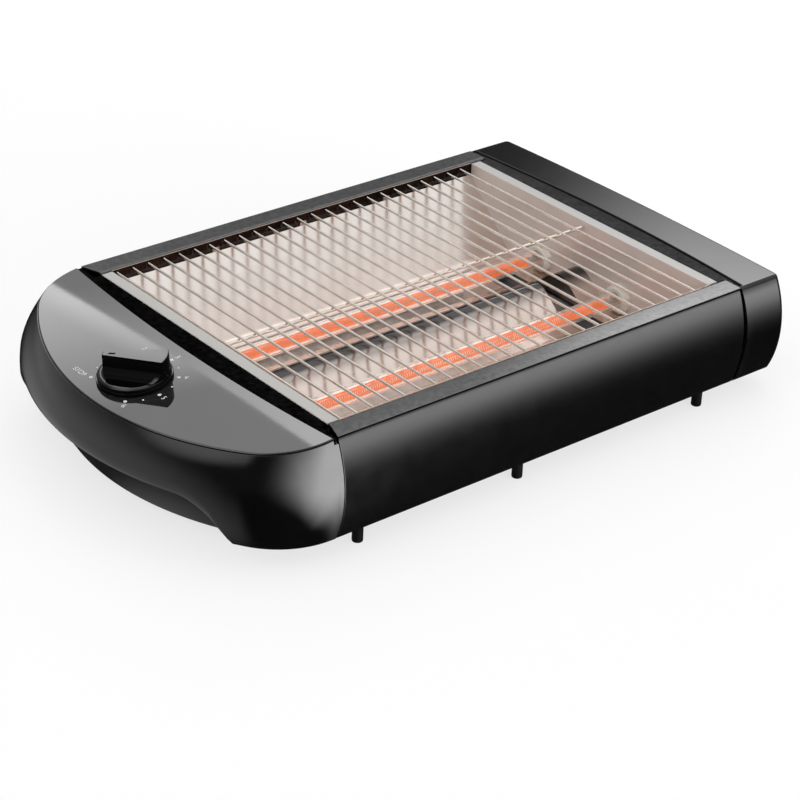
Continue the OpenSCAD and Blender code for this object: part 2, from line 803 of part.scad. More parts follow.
// Base plate with cooling slots, rounded to pass behind the tray's front piece
module base_plate() color([0.2, 0.2, 0.2]) placed() {
    vent_l = 60;
    vent_w = 4;
    front_in = tray_front_in + tray_front_t + 1.2;
    difference() {
        translate([0, 0, base_z]) linear_extrude(base_t) {
            translate([-seam_x, -half_w + 2.2]) square([seam_x + rear_x - cap_bow - shell_t - 1, body_w - 4.4]);
            intersection() {
                translate([front_x, 0]) circle(front_r - front_in, $fn = 360);
                translate([-seam_x - far + 1, -half_w + front_in]) square([far, body_w - 2 * front_in]);
            }
        }
        both_sides() {
            at_feet() translate([0, 0, base_z]) screw_hole(8 * base_t);
            for (x = [-seam_x - boss_out, seam_x + boss_out])
                translate([x, half_w - boss_in, base_z]) screw_hole(8 * base_t);
            for (end = [-1, 1])
                translate([end * (plate_x + plate_screw_x), plate_screw_y, base_z]) screw_hole(8 * base_t);
            for (i = [-3 : 3])
                translate([i * 3 * vent_w - vent_w / 2, half_w / 4, base_z - 1]) cube([vent_w, vent_l, base_t + 2]);
        }
        translate([earth_x, earth_y, base_z]) screw_hole(8 * base_t);
    }
}
earth_x = block_x;
earth_y = 2 - block_y;

// Short round feet with a chamfered end, bored for their screws
module feet() color(matt_black) placed() both_sides() at_feet() {
    chamfer = 1;
    difference() {
        rotate_extrude() polygon([[0, 0], [foot_d / 2 - chamfer, 0], [foot_d / 2, chamfer],
            [foot_d / 2, side_z], [0, side_z]]);
        translate([0, 0, side_z]) screw_hole(2 * foot_screw_l);
    }
}
foot_screw_l = side_z * 0.7;

module foot_screws() color(bright_steel) placed() both_sides() at_feet()
    translate([0, 0, base_top]) screw(base_t + side_t + foot_screw_l - 0.5);

// Screws that draw the front housing and the end cap down to the base plate
module housing_screws() color(bright_steel) placed() both_sides()
    for (x = [-seam_x - boss_out, seam_x + boss_out])
        translate([x, half_w - boss_in, base_z]) mirror([0, 0, 1]) screw(base_t + casing_bite);

// Screws through the feet of the end plates
module plate_screws() color(bright_steel) placed() both_sides()
    for (end = [-1, 1])
        translate([end * (plate_x + plate_screw_x), plate_screw_y, base_top + sheet_t]) screw(sheet_t + base_t + 3);

// Angle on the base plate that guides one edge of the crumb tray
module tray_guide() {
    web_y = pan_half + tray_clear;
    translate([-plate_x + 2, web_y, base_top]) cube([plate_x + pan_rear, guide_t, guide_h]);
    translate([-plate_x + 2, web_y, base_top]) cube([plate_x + pan_rear, guide_w, guide_t]);
}

module tray_guide_left() color(bright_steel) placed() tray_guide();

module tray_guide_right() color(bright_steel) placed() mirror([0, 1, 0]) tray_guide();

// Cylinder on the axis of the housing's front arc
module front_barrel(r) {
    translate([front_x, 0, 0]) cylinder(r = r, h = far, $fn = 360);
}

// Crumb pan with a low rim, rounded in front to meet the tray's front piece
module crumb_pan() color(bright_steel) placed() {
    difference() {
        intersection() {
            translate([-far, -pan_half, pan_z]) cube([far + pan_rear, tray_w, tray_rim]);
            union() {
                front_barrel(pan_front_r - hole_clear);
                translate([front_x, -far, 0]) cube([far, 2 * far, far]);
            }
        }
        intersection() {
            translate([-far, -pan_half + tray_t, pan_z + tray_t])
                cube([far + pan_rear - tray_t, tray_w - 2 * tray_t, far]);
            union() {
                front_barrel(pan_front_r - hole_clear - tray_t);
                translate([front_x, -far, 0]) cube([far, 2 * far, far]);
            }
        }
        tray_screw_places() screw_hole(20);
    }
}

// Places children on the screws that hold the pan to the front piece, pointing forward
module tray_screw_places() {
    for (a = [-18, 18])
        translate([front_x, 0, tray_screw_z]) rotate([0, 0, a]) translate([-pan_front_r, 0, 0])
            rotate([0, 90, 0]) children();
}

// Curved front piece of the crumb tray, leaning in to leave room for the fingers
module crumb_tray_front() color(gloss_black) placed() {
    foot_r = front_r - tray_front_in;
    top_r = front_r + tray_front_out;
    lean = (top_r - foot_r) / (arch_top - tray_foot);
    collar_z = pan_z + tray_rim + 1;
    difference() {
        intersection() {
            translate([front_x, 0, 0]) rotate([0, 0, 180 - arc_split]) rotate_extrude(angle = 2 * arc_split, $fn = 360)
                polygon([[foot_r - tray_front_t, tray_foot], [foot_r, tray_foot], [top_r, arch_top],
                    [top_r - 1.3 * tray_front_t, arch_top],
                    [foot_r - tray_front_t, collar_z]]);
            along(-far, 0) arch_section(tray_clear + 0.2);
        }
        tray_screw_places() screw_hole(10);
    }
}

// Screws through the pan's front rim into the front piece
module tray_screws() color(bright_steel) placed()
    tray_screw_places() translate([0, 0, 2 * hole_clear + tray_t]) screw(tray_t + 2 * hole_clear + 4);

// Clockwork timer under the control panel, with the bush that its shaft turns in
module timer_body() color([0.75, 0.75, 0.72]) placed() on_panel() {
    difference() {
        union() {
            translate([-timer_l / 2, -timer_w / 2, timer_foot]) cube([timer_l, timer_w, timer_h]);
            translate([0, 0, timer_top - eps]) cylinder(d = timer_bush_d, h = -timer_top + eps);
        }
        translate([0, 0, shaft_low - hole_clear]) cylinder(d = shaft_d + 2 * shaft_clear, h = far);
        for (side = [-1, 1])
            translate([side * timer_screw_r, 0, timer_top]) screw_hole(16);
    }
}

// Bell cup under the timer
module timer_bell() color(bright_steel) placed() on_panel() {
    wall = 1;
    rotate_extrude() difference() {
        translate([screw_d / 2 + hole_clear, timer_foot - hole_clear - bell_h]) square([bell_d / 2 - screw_d / 2 - hole_clear, bell_h]);
        translate([head_d / 2 + 1, timer_foot - hole_clear - bell_h - eps])
            square([bell_d / 2 - wall - head_d / 2 - 1, bell_h - wall]);
        translate([0, timer_foot - hole_clear - bell_h - 1]) square([head_d / 2 + 1 + eps, bell_h - 2]);
    }
}

module bell_screw() color(bright_steel) placed() on_panel()
    translate([0, 0, timer_foot - hole_clear - 3]) mirror([0, 0, 1]) screw(3);

// Contact tabs on the rear face of the timer
module timer_tabs() color([0.75, 0.6, 0.3]) placed() on_panel()
    for (side = [-1, 1])
        translate([timer_l / 2, side * tab_y - 3.15, tab_z]) cube([8, 6.3, 0.8]);
tab_y = 9;
tab_z = timer_top - 12;

module timer_screws() color(bright_steel) placed() on_panel()
    for (side = [-1, 1])
        translate([side * timer_screw_r, 0, hole_clear]) screw(panel_t + 6);

// Timer shaft with a flat for the knob
module timer_shaft() color([0.7, 0.7, 0.7]) placed() on_panel() {
    difference() {
        translate([0, 0, shaft_low]) cylinder(d = shaft_d, h = shaft_top - shaft_low);
        rotate([0, 0, stop_angle]) translate([shaft_d / 3, -shaft_d, knob_gap + 1]) cube([shaft_d, 2 * shaft_d, far]);
    }
}

// Knob: grooved skirt with a grip ridge that points to the stop mark
module timer_knob() color(gloss_black) placed() on_panel() rotate([0, 0, stop_angle]) {
    skirt_top = knob_gap + skirt_h;
    top = skirt_top + grip_h;
    groove = 0.8;
    edge = 1;
    rim_r = min(grip_l / 2 + 0.3, knob_d / 2 - edge);
    difference() {
        union() {
            rotate_extrude() polygon([[0, knob_gap], [knob_d / 2, knob_gap],
                [knob_d / 2, knob_gap + skirt_h / 2 - groove / 2], [knob_d / 2 - groove, knob_gap + skirt_h / 2],
                [knob_d / 2, knob_gap + skirt_h / 2 + groove / 2], [knob_d / 2, skirt_top - edge],
                [rim_r, skirt_top], [0, skirt_top]]);
            difference() {
                translate([-grip_back, 0, skirt_top - edge]) cylinder(d = grip_l, h = grip_h + edge);
                for (side = [-1, 1])
                    rotate([0, 0, -side * grip_taper]) grip_scoop(side, skirt_top);
            }
        }
        translate([0, 0, knob_gap - 1]) difference() {
            cylinder(r = knob_d / 2 - 2, h = knob_well + 1);
            cylinder(d = shaft_d + 4, h = far, center = true);
        }
        difference() {
            translate([0, 0, -1]) cylinder(d = shaft_d + 2 * shaft_clear, h = shaft_top + 1 + hole_clear);
            translate([shaft_d / 3 + shaft_clear, -shaft_d, knob_gap + 1 + hole_clear])
                cube([shaft_d, 2 * shaft_d, far]);
        }
        translate([grip_l / 2 - grip_back - 7, -0.7, top - 0.8]) cube([3.6, 1.4, 2]);
    }
}

// Hollow beside the grip ridge, whose flank curves out to the skirt
module grip_scoop(side, low) {
    scoop_r = grip_h * 0.9;
    foot_w = grip_w / 2 + scoop_r;
    translate([0, side * foot_w, low + scoop_r]) rotate([0, 90, 0]) cylinder(r = scoop_r, h = far, center = true);
    translate([0, side * (foot_w + far / 2), low + far / 2 - 2]) cube(far, center = true);
}

// Three-pole terminal block on the base plate
module terminal_block() color([0.9, 0.88, 0.8]) placed() {
    difference() {
        translate([block_x - block_l / 2, block_y - block_w / 2, base_top]) cube([block_l, block_w, block_h]);
        at_ports() translate([0, 0, -4]) cylinder(d = screw_d + 2 * hole_clear, h = 20);
    }
}

// Places children on top of the block's three poles
module at_ports() {
    for (i = [-1 : 1])
        translate([block_x + block_l / 4, block_y + i * port_pitch, base_top + block_h]) children();
}

module terminal_screws() color([0.75, 0.6, 0.3]) placed() at_ports() screw(4);

// Bush that lines the cord's hole in the rear wall
module cord_bush() color(matt_black) placed() {
    seat = bush_seat_x();
    inside = rear_x - cap_bow - shell_t - 2;
    translate([0, bush_y, bush_z]) rotate([0, 90, 0]) difference() {
        union() {
            translate([0, 0, seat]) cylinder(d = bush_collar_d, h = bush_recess + 0.5);
            translate([0, 0, inside]) cylinder(d = bush_hole_d - 2 * hole_clear, h = seat - inside + eps);
        }
        cylinder(d = bush_bore_d, h = far);
    }
}

// Thermal fuse on the outer face of the rear end plate
module thermal_fuse() color(bright_steel) placed()
    translate([fuse_x, 0, fuse_z]) rotate([90, 0, 0]) cylinder(d = fuse_d, h = fuse_l, center = true);

// Strap that holds the fuse to the plate
module fuse_clip() color(bright_steel) placed() {
    strap = 4;
    t = 0.6;
    low = fuse_z - fuse_d / 2 - hole_clear;
    high = fuse_z + fuse_d / 2 + hole_clear;
    out = fuse_x + fuse_d / 2 + hole_clear;
    translate([plate_x + sheet_t, -strap / 2, high]) cube([out - plate_x - sheet_t + t, strap, t]);
    translate([out, -strap / 2, low - t]) cube([t, strap, high - low + 2 * t]);
    translate([plate_x + sheet_t, -strap / 2, low - t]) cube([out - plate_x - sheet_t + t, strap, t]);
}

module earth_screw() color([0.75, 0.6, 0.3]) placed()
    translate([earth_x, earth_y, base_top]) screw(base_t + 4);

// Round lead through a list of points, with rounded bends
module lead(points) {
    last = len(points) - 2;
    for (i = [0 : last]) {
        v = points[i + 1] - points[i];
        translate(points[i]) rotate([0, acos(v.z / norm(v)), atan2(v.y, v.x)]) {
            cylinder(d = lead_d, h = norm(v), $fn = 48);
            sphere(d = lead_d + 0.12, $fn = 48);
            if (i == last)
                translate([0, 0, norm(v)]) sphere(d = lead_d + 0.12, $fn = 48);
        }
    }
}

lead_sit = lead_d / 2 + hole_clear;
lead_rise = 10;
lead_turn = 6;
block_top = base_top + block_h + lead_sit;
block_port_x = block_x - block_l / 4;
tab_point = [-seam_x - knob_in + (timer_l / 2 + 5) * cos(panel_slope) - tab_z * sin(panel_slope),
    panel_z(-seam_x - knob_in) + (timer_l / 2 + 5) * sin(panel_slope) + tab_z * cos(panel_slope)];

// Supply lead from the block, along the left side, to the timer
module live_lead() color([0.5, 0.3, 0.15]) placed()
    lead([[block_port_x, block_y + port_pitch, block_top], [seam_x + 4, lead_y - 8, block_top],
        [plate_x + 14, lead_y, lead_z], [-plate_x - 12, lead_y, lead_z],
        [-plate_x - 2 * lead_turn - 4, gate_half + 2, gate_top + lead_rise], [tab_point[0], tab_y, tab_point[1] - lead_sit - 0.8]]);

// Leads from the timer to the front ends of both tubes
module switched_leads() color([0.1, 0.1, 0.1]) placed() {
    x = -pin_lead_x;
    lead([[tab_point[0], -tab_y, tab_point[1] - lead_sit - 0.8], [x, -tube_y + lead_turn, tube_z + lead_rise],
        [x, -tube_y, tube_z + lead_gap]]);
    lead([[x, -tube_y + lead_gap, tube_z], [x, tube_y - lead_gap, tube_z]]);
}

// Return lead from the left tube to the block
module neutral_lead() color([0.2, 0.35, 0.7]) placed()
    lead([[pin_lead_x, tube_y + lead_gap, tube_z], [block_port_x, block_y, block_top + 4], [block_port_x, block_y, block_top]]);

// Leads from the fuse to the rear ends of both tubes
module fuse_leads() color([0.9, 0.9, 0.85]) placed() both_sides()
    lead([[fuse_x, fuse_l / 2 + lead_sit, fuse_z], [pin_lead_x, tube_y, tube_z + lead_gap + lead_turn],
        [pin_lead_x, tube_y, tube_z + lead_gap]]);

// Earth lead from the block to the base plate
module earth_lead() color([0.5, 0.65, 0.2]) placed()
    lead([[block_port_x, block_y - port_pitch, block_top],
        [block_port_x, block_y - block_w / 2 - lead_d, block_top],
        [block_port_x, block_y - block_w / 2 - 3 * lead_d, lead_z],
        [earth_x, earth_y + head_d / 2 + lead_sit, lead_z]]);

front_housing();
control_panel();
front_trim_strip();
rear_trim_strip();
end_cap();
side_panel_right();
side_panel_left();
side_rail_right();
side_rail_left();
wire_comb_right();
wire_comb_left();
rail_clips();
grill_wires();
support_wire();
reflector();
front_end_plate();
rear_end_plate();
heating_tube_right();
heating_tube_left();
heating_coil_right();
heating_coil_left();
tube_holders_front();
tube_holders_rear();
contact_pins();
base_plate();
feet();
foot_screws();
housing_screws();
plate_screws();
tray_guide_right();
tray_guide_left();
crumb_pan();
crumb_tray_front();
tray_screws();
timer_body();
timer_bell();
bell_screw();
timer_tabs();
timer_screws();
timer_shaft();
timer_knob();
terminal_block();
terminal_screws();
cord_bush();
thermal_fuse();
fuse_clip();
earth_screw();
live_lead();
switched_leads();
neutral_lead();
fuse_leads();
earth_lead();
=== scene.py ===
# Flat toaster: the dressed model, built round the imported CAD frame.
# Sizes are in mm in the toaster's own frame (x from the middle of the grill, z from the table).
import json
import math

import bmesh
import bpy
from mathutils import Matrix, Vector


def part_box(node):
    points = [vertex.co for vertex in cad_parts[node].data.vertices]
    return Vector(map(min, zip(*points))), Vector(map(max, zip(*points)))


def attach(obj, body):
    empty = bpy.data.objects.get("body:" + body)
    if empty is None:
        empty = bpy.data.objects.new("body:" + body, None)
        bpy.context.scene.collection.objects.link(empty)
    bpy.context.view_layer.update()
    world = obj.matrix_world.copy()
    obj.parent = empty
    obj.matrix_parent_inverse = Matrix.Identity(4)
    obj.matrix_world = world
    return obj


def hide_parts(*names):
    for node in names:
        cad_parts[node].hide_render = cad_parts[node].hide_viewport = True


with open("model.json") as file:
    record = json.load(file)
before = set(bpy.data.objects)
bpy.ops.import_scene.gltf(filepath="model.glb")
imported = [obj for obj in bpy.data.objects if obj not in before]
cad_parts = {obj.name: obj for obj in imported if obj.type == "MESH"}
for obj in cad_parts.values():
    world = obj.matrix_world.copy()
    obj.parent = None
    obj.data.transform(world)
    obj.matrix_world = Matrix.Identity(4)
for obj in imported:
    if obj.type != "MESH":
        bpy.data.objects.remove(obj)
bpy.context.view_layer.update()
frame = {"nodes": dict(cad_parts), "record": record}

MM = 0.001
side_low, side_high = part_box("side_panel_right")
MID_X = (side_low.x + side_high.x) / 2 / MM

# ---------------------------------------------------------------- sizes, as in the CAD source
BODY_L, BODY_W, BODY_H, SIDE_H = 285, 231, 68, 58.8
WALL_BULGE, WALL_LEAN, SIDE_T, FLANGE_W, GAP = 6.6, 1.4, 1.2, 12, 0.3
HOUSING_L, HOUSING_STRAIGHT, CORNER_R, FRONT_BULGE, SHELL_T = 69, 2.5, 45, 10.8, 2.5
SLOPE = math.radians(7)
PANEL_T, LID_T, PANEL_GAP, RIM_W, EDGE_BOW = 2.5, 1, 0.3, 4, 5.5
STRIP_T, STRIP_DROP = 2, 1
ARCH_IN, ARCH_H, ARCH_R = 25, 26.3, 22
CAP_L, CAP_BOW, CAP_PROUD = 30.2, 2.8, 1.2
BUSH_HOLE_D, BUSH_COLLAR_D, BUSH_RECESS, BUSH_Y = 11, 16, 1, 62
WIRE_D, WIRE_PITCH, WIRE_COUNT, WIRE_DROP, FIRST_WIRE = 1.6, 10.4, 25, 2.2, 14.3
SUPPORT_D, SUPPORT_HOOK = 2, 6
LEDGE_W, RAIL_T, RAIL_LIP = 11.5, 1.2, 10
REFLECTOR_DROP, FLOOR_W, RIDGE_H, RIDGE_W, RIM_DROP, SHEET_T = 46, 124, 18.5, 46, 8, 0.8
PLATE_IN, SLOT_W, SLOT_L, SLOT_IN = 11.5, 17.5, 108, 17
TUBE_GAP, TUBE_DROP, TUBE_D, TUBE_WALL, COIL_D, COIL_T = 68, 37, 10, 1, 6, 0.7
HOLDER_D, HOLDER_COLLAR, HOLDER_BODY_D, HOLDER_BODY_L, PIN_D = 18, 3, 13, 10, 3
TRAY_FRONT_T, TRAY_FRONT_OUT, TRAY_FRONT_IN, TRAY_CLEAR = 3, 8.5, 9, 0.4
KNOB_IN, KNOB_D, SKIRT_H, KNOB_GAP = 41.5, 40, 4, 0.5
GRIP_H, GRIP_W, GRIP_L, GRIP_BACK = 9.2, 7.6, 34.7, 1.6
GRIP_TAPER = math.radians(8.5)
KNOB_ANGLE = math.radians(131)
STOP_ANGLE = math.radians(136.5)
TIMER_BUSH_HOLE_D, TIMER_SCREW_R, TIMER_SCREW_HOLE_D, KNOB_WELL = 10.6, 13, 3.2, 2.4
FOOT_D, FOOT_IN, FOOT_PLACES = 6, 2.5, (17, 125.5, 261)
CLEAR = 0.1

# ---------------------------------------------------------------- derived places
HALF_W = BODY_W / 2
SEAM_X = BODY_L / 2
SIDE_Z = BODY_H - SIDE_H
REAR_X = SEAM_X + CAP_L + CAP_BOW
CORNER_X = -SEAM_X - HOUSING_STRAIGHT
CORNER_Y = HALF_W - CORNER_R
FRONT_DEPTH = HOUSING_L - HOUSING_STRAIGHT
FRONT_BACK = (CORNER_Y ** 2 - (FRONT_DEPTH - CORNER_R) ** 2) / (2 * (FRONT_DEPTH - CORNER_R))
FRONT_R = FRONT_BACK + FRONT_DEPTH
FRONT_X = CORNER_X + FRONT_BACK
ARC_SPLIT = math.atan2(CORNER_Y, FRONT_BACK)
ARCH_HALF = HALF_W - ARCH_IN
ARCH_TOP = SIDE_Z + ARCH_H
PANEL_EDGE_X = CORNER_X - EDGE_BOW
RAIL_OUT = HALF_W - SIDE_T - GAP
RAIL_IN = RAIL_OUT - LEDGE_W
WIRE_Z = BODY_H - WIRE_DROP
FIRST_WIRE_X = -SEAM_X + FIRST_WIRE
SUPPORT_Z = WIRE_Z - (WIRE_D + SUPPORT_D) / 2 - CLEAR
PLATE_X = SEAM_X - PLATE_IN
FLOOR_Z = BODY_H - REFLECTOR_DROP
TUBE_Y = TUBE_GAP / 2
TUBE_Z = BODY_H - TUBE_DROP
TUBE_END = PLATE_X + 3
COIL_END = PLATE_X - HOLDER_COLLAR - 9
TRAY_FOOT = SIDE_Z + 0.3
BUSH_Z = SIDE_Z + 22


def arc_radius(length, rise):
    return (length * length / 4 + rise * rise) / (2 * rise)


EDGE_R = arc_radius(BODY_W, EDGE_BOW)
CAP_BOW_R = arc_radius(BODY_W, CAP_BOW)


def panel_z(x):
    return BODY_H + (x + SEAM_X) * math.tan(SLOPE)


def plan_point(angle, out):
    """Point of the front housing's outline in plan, moved outward."""
    if abs(angle) > ARC_SPLIT + 1e-4:
        side = math.copysign(CORNER_Y, angle)
        return (CORNER_X - (CORNER_R + out) * math.cos(angle), side + (CORNER_R + out) * math.sin(angle))
    return (FRONT_X - (FRONT_R + out) * math.cos(angle), (FRONT_R + out) * math.sin(angle))


def wall_out(t, bulge):
    """How far the front wall stands out at a share of its height, from the top."""
    return WALL_LEAN * t + 4 * bulge * t * (1 - t)


def front_bulge(angle):
    """Bulge of the front wall at a plan angle: the side walls' at the seam, more in the middle."""
    return WALL_BULGE + (FRONT_BULGE - WALL_BULGE) * math.cos(angle)


def wall_y(z, bulge):
    """Outer face of a curved side wall at a height."""
    chord = math.hypot(SIDE_H, WALL_LEAN)
    r = arc_radius(chord, bulge)
    back = (r - bulge) / chord
    mid_y = HALF_W + WALL_LEAN / 2 - SIDE_H * back
    mid_z = SIDE_Z + SIDE_H / 2 - WALL_LEAN * back
    return mid_y + math.sqrt(r * r - (z - mid_z) ** 2)


def edge_x(y):
    """Bowed edge of the panel; the cap's edge is its mirror image."""
    return PANEL_EDGE_X + EDGE_R - math.sqrt(EDGE_R ** 2 - y * y)


def rear_x(y, inset=0.0):
    return REAR_X - CAP_BOW_R + math.sqrt((CAP_BOW_R - inset) ** 2 - y * y)


KNOB_X = -SEAM_X - KNOB_IN
PANEL_UP = (-math.sin(SLOPE), 0, math.cos(SLOPE))
ON_PANEL = Matrix.Translation((KNOB_X, 0, panel_z(KNOB_X))) @ Matrix.Rotation(-SLOPE, 4, "Y")


# ---------------------------------------------------------------- mesh tools
def span(a, b, steps):
    return [a + (b - a) * k / steps for k in range(steps + 1)]


def turns(steps):
    """Angles of even steps round a circle."""
    return [2 * math.pi * k / steps for k in range(steps)]


def curve(a, b, c, steps):
    """Smooth bend from a to c that leaves and arrives along lines through b."""
    return [a * (1 - s) ** 2 + b * (2 * s * (1 - s)) + c * s * s for s in span(0, 1, steps)]


def rounded(points, radius, steps):
    """Path in the plane with its corners rounded."""
    points = [Vector(p) for p in points]
    out = [points[0]]
    for last, p, following in zip(points, points[1:], points[2:]):
        before, after = last - p, following - p
        half = before.angle(after) / 2
        reach = min(radius / math.tan(half), 0.48 * before.length, 0.48 * after.length)
        out += curve(p + before.normalized() * reach, p, p + after.normalized() * reach, steps)
    return out + [points[-1]]


def offset(path, distance):
    """Path moved to its left by a distance."""
    out = []
    for i, p in enumerate(path):
        legs = []
        if i:
            legs.append((p - path[i - 1]).normalized())
        if i < len(path) - 1:
            legs.append((path[i + 1] - p).normalized())
        mean = sum(legs, Vector((0, 0))).normalized()
        left = Vector((-mean.y, mean.x))
        out.append(p + left * distance / max(0.3, mean.dot(legs[0])))
    return out


class Build:
    """Vertices and faces of one mesh, in mm."""

    def __init__(self):
        self.verts = []
        self.faces = []

    def loft(self, rings, closed=True, ends=True, loop=False):
        """Faces between rings of points, with flat ends where the rings don't run in a loop."""
        base, count = len(self.verts), len(rings[0])
        for ring in rings:
            self.verts += [tuple(p) for p in ring]
        for i in range(len(rings) - (0 if loop else 1)):
            a, b = base + i * count, base + (i + 1) % len(rings) * count
            for j in range(count if closed else count - 1):
                k = (j + 1) % count
                self.faces.append((a + j, a + k, b + k, b + j))
        if ends and not loop:
            self.faces.append(tuple(base + j for j in reversed(range(count))))
            self.faces.append(tuple(base + (len(rings) - 1) * count + j for j in range(count)))
        return self

    def face(self, points):
        base = len(self.verts)
        self.verts += [tuple(p) for p in points]
        self.faces.append(tuple(range(base, base + len(points))))
        return self

    def lathe(self, profile, place=Matrix(), steps=64):
        """Turns a profile of (radius, height) round the z axis of a place.

        A profile that starts on the axis ends on it too, and gets flat ends. Any other one is closed.
        """
        solid = profile[0][0] == 0
        rings = [[place @ Vector((r * math.cos(a), r * math.sin(a), z)) for a in turns(steps)]
                 for r, z in (profile[1:-1] if solid else profile)]
        return self.loft(rings, loop=not solid)

    def rod(self, radius, low, high, place=Matrix(), steps=64):
        """Round rod along the z axis of a place."""
        return self.lathe([(0, low), (radius, low), (radius, high), (0, high)], place, steps)

    def extrude(self, section, x0, x1):
        return self.loft([[(x, y, z) for y, z in section] for x in (x0, x1)])

    def sweep(self, path, radius, sides):
        """Round wire along a path."""
        path = [Vector(p) for p in path]
        rings = []
        across = None
        for i, p in enumerate(path):
            ahead = (path[min(i + 1, len(path) - 1)] - path[max(i - 1, 0)]).normalized()
            if across is None:
                across = ahead.orthogonal().normalized()
            across = (across - ahead * across.dot(ahead)).normalized()
            other = ahead.cross(across)
            rings.append([p + radius * (math.cos(a) * across + math.sin(a) * other)
                          for a in turns(sides)])
        return self.loft(rings)

    def box(self, low, high):
        (x0, y0, z0), (x1, y1, z1) = low, high
        return self.loft([[(x0, y0, z), (x1, y0, z), (x1, y1, z), (x0, y1, z)] for z in (z0, z1)])


def to_object(name, build, place=Matrix()):
    """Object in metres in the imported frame, from a mesh in mm in the toaster's own frame."""
    mesh = bpy.data.meshes.new(name)
    moved = [place @ Vector(v) for v in build.verts]
    mesh.from_pydata([((v.x + MID_X) * MM, v.y * MM, v.z * MM) for v in moved], [], build.faces)
    bm = bmesh.new()
    bm.from_mesh(mesh)
    bmesh.ops.remove_doubles(bm, verts=bm.verts, dist=2e-6)
    bmesh.ops.recalc_face_normals(bm, faces=bm.faces)
    bm.to_mesh(mesh)
    bm.free()
    ob = bpy.data.objects.new(name, mesh)
    bpy.context.scene.collection.objects.link(ob)
    return ob


def apply_modifiers(ob):
    deps = bpy.context.evaluated_depsgraph_get()
    mesh = bpy.data.meshes.new_from_object(ob.evaluated_get(deps), depsgraph=deps)
    ob.modifiers.clear()
    old = ob.data
    ob.data = mesh
    bpy.data.meshes.remove(old)


def combine(ob, others, operation):
    """Cuts or joins other solids with an object and removes them."""
    for other in others:
        tool = ob.modifiers.new("solid", "BOOLEAN")
        tool.operation = operation
        tool.solver = "EXACT"
        tool.object = other
    apply_modifiers(ob)
    for other in others:
        mesh = other.data
        bpy.data.objects.remove(other)
        bpy.data.meshes.remove(mesh)


def shade(ob, angle=38, bevel=0.0, segments=2, bevel_angle=40):
    """Smooth shading with sharp edges by angle, or with small rounded edges."""
    if bevel:
        tool = ob.modifiers.new("edges", "BEVEL")
        tool.width = bevel * MM
        tool.segments = segments
        tool.limit_method = "ANGLE"
        tool.angle_limit = math.radians(bevel_angle)
        tool.use_clamp_overlap = True
        apply_modifiers(ob)
    ob.data.shade_smooth()
    ob.data.set_sharp_from_angle(angle=math.radians(angle))
    tool = ob.modifiers.new("normals", "WEIGHTED_NORMAL")
    tool.keep_sharp = True
    tool.weight = 60
    return ob


def dress(ob, slot, nodes=(), body="casing", finish=None):
    """Gives a piece its finish, the slot's unless another is given, puts it on a body, and hides the CAD
    nodes that it stands for.
    """
    ob.data.materials.clear()
    ob.data.materials.append(finish or FINISHES[slot])
    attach(ob, body)
    if nodes:
        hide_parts(*nodes)


# ---------------------------------------------------------------- materials
class Nodes:
    """Shorthand for building a node tree."""

    def __init__(self, tree):
        self.tree = tree

    def node(self, kind, inputs=None, **settings):
        made = self.tree.nodes.new("ShaderNode" + kind)
        for key, value in settings.items():
            setattr(made, key, value)
        for key, value in (inputs or {}).items():
            if isinstance(value, bpy.types.NodeSocket):
                self.tree.links.new(value, made.inputs[key])
            else:
                made.inputs[key].default_value = value
        return made

    def scaled(self, source, low, high, to_low, to_high):
        """Value moved from one range to another, and kept inside it."""
        made = self.node("MapRange", {"Value": source, "From Min": low, "From Max": high,
                                      "To Min": to_low, "To Max": to_high})
        return made.outputs["Result"]

    def ramp(self, source, low, high):
        """Soft step from 0 at one value to 1 at another."""
        made = self.node("MapRange", {"Value": source, "From Min": low, "From Max": high},
                         interpolation_type="SMOOTHSTEP")
        return made.outputs["Result"]

    def band(self, source, low, rise, fall, high):
        """1 between rise and fall, softly down to 0 at low and at high."""
        return self.product(self.ramp(source, low, rise), self.ramp(source, high, fall))

    def product(self, first, *others):
        for other in others:
            first = self.math("MULTIPLY", first, other)
        return first

    def sum(self, first, *others):
        for other in others:
            first = self.math("ADD", first, other)
        return first

    def dot(self, a, b):
        return self.node("VectorMath", {0: a, 1: b}, operation="DOT_PRODUCT").outputs["Value"]

    def math(self, operation, a, b=0.0):
        return self.node("Math", {0: a, 1: b}, operation=operation).outputs["Value"]

    def blend(self, factor, a, b):
        made = self.node("Mix", {0: factor}, data_type="RGBA")
        for key, value in ((6, a), (7, b)):
            if isinstance(value, bpy.types.NodeSocket):
                self.tree.links.new(value, made.inputs[key])
            else:
                made.inputs[key].default_value = (*value, 1)
        return made.outputs[2]


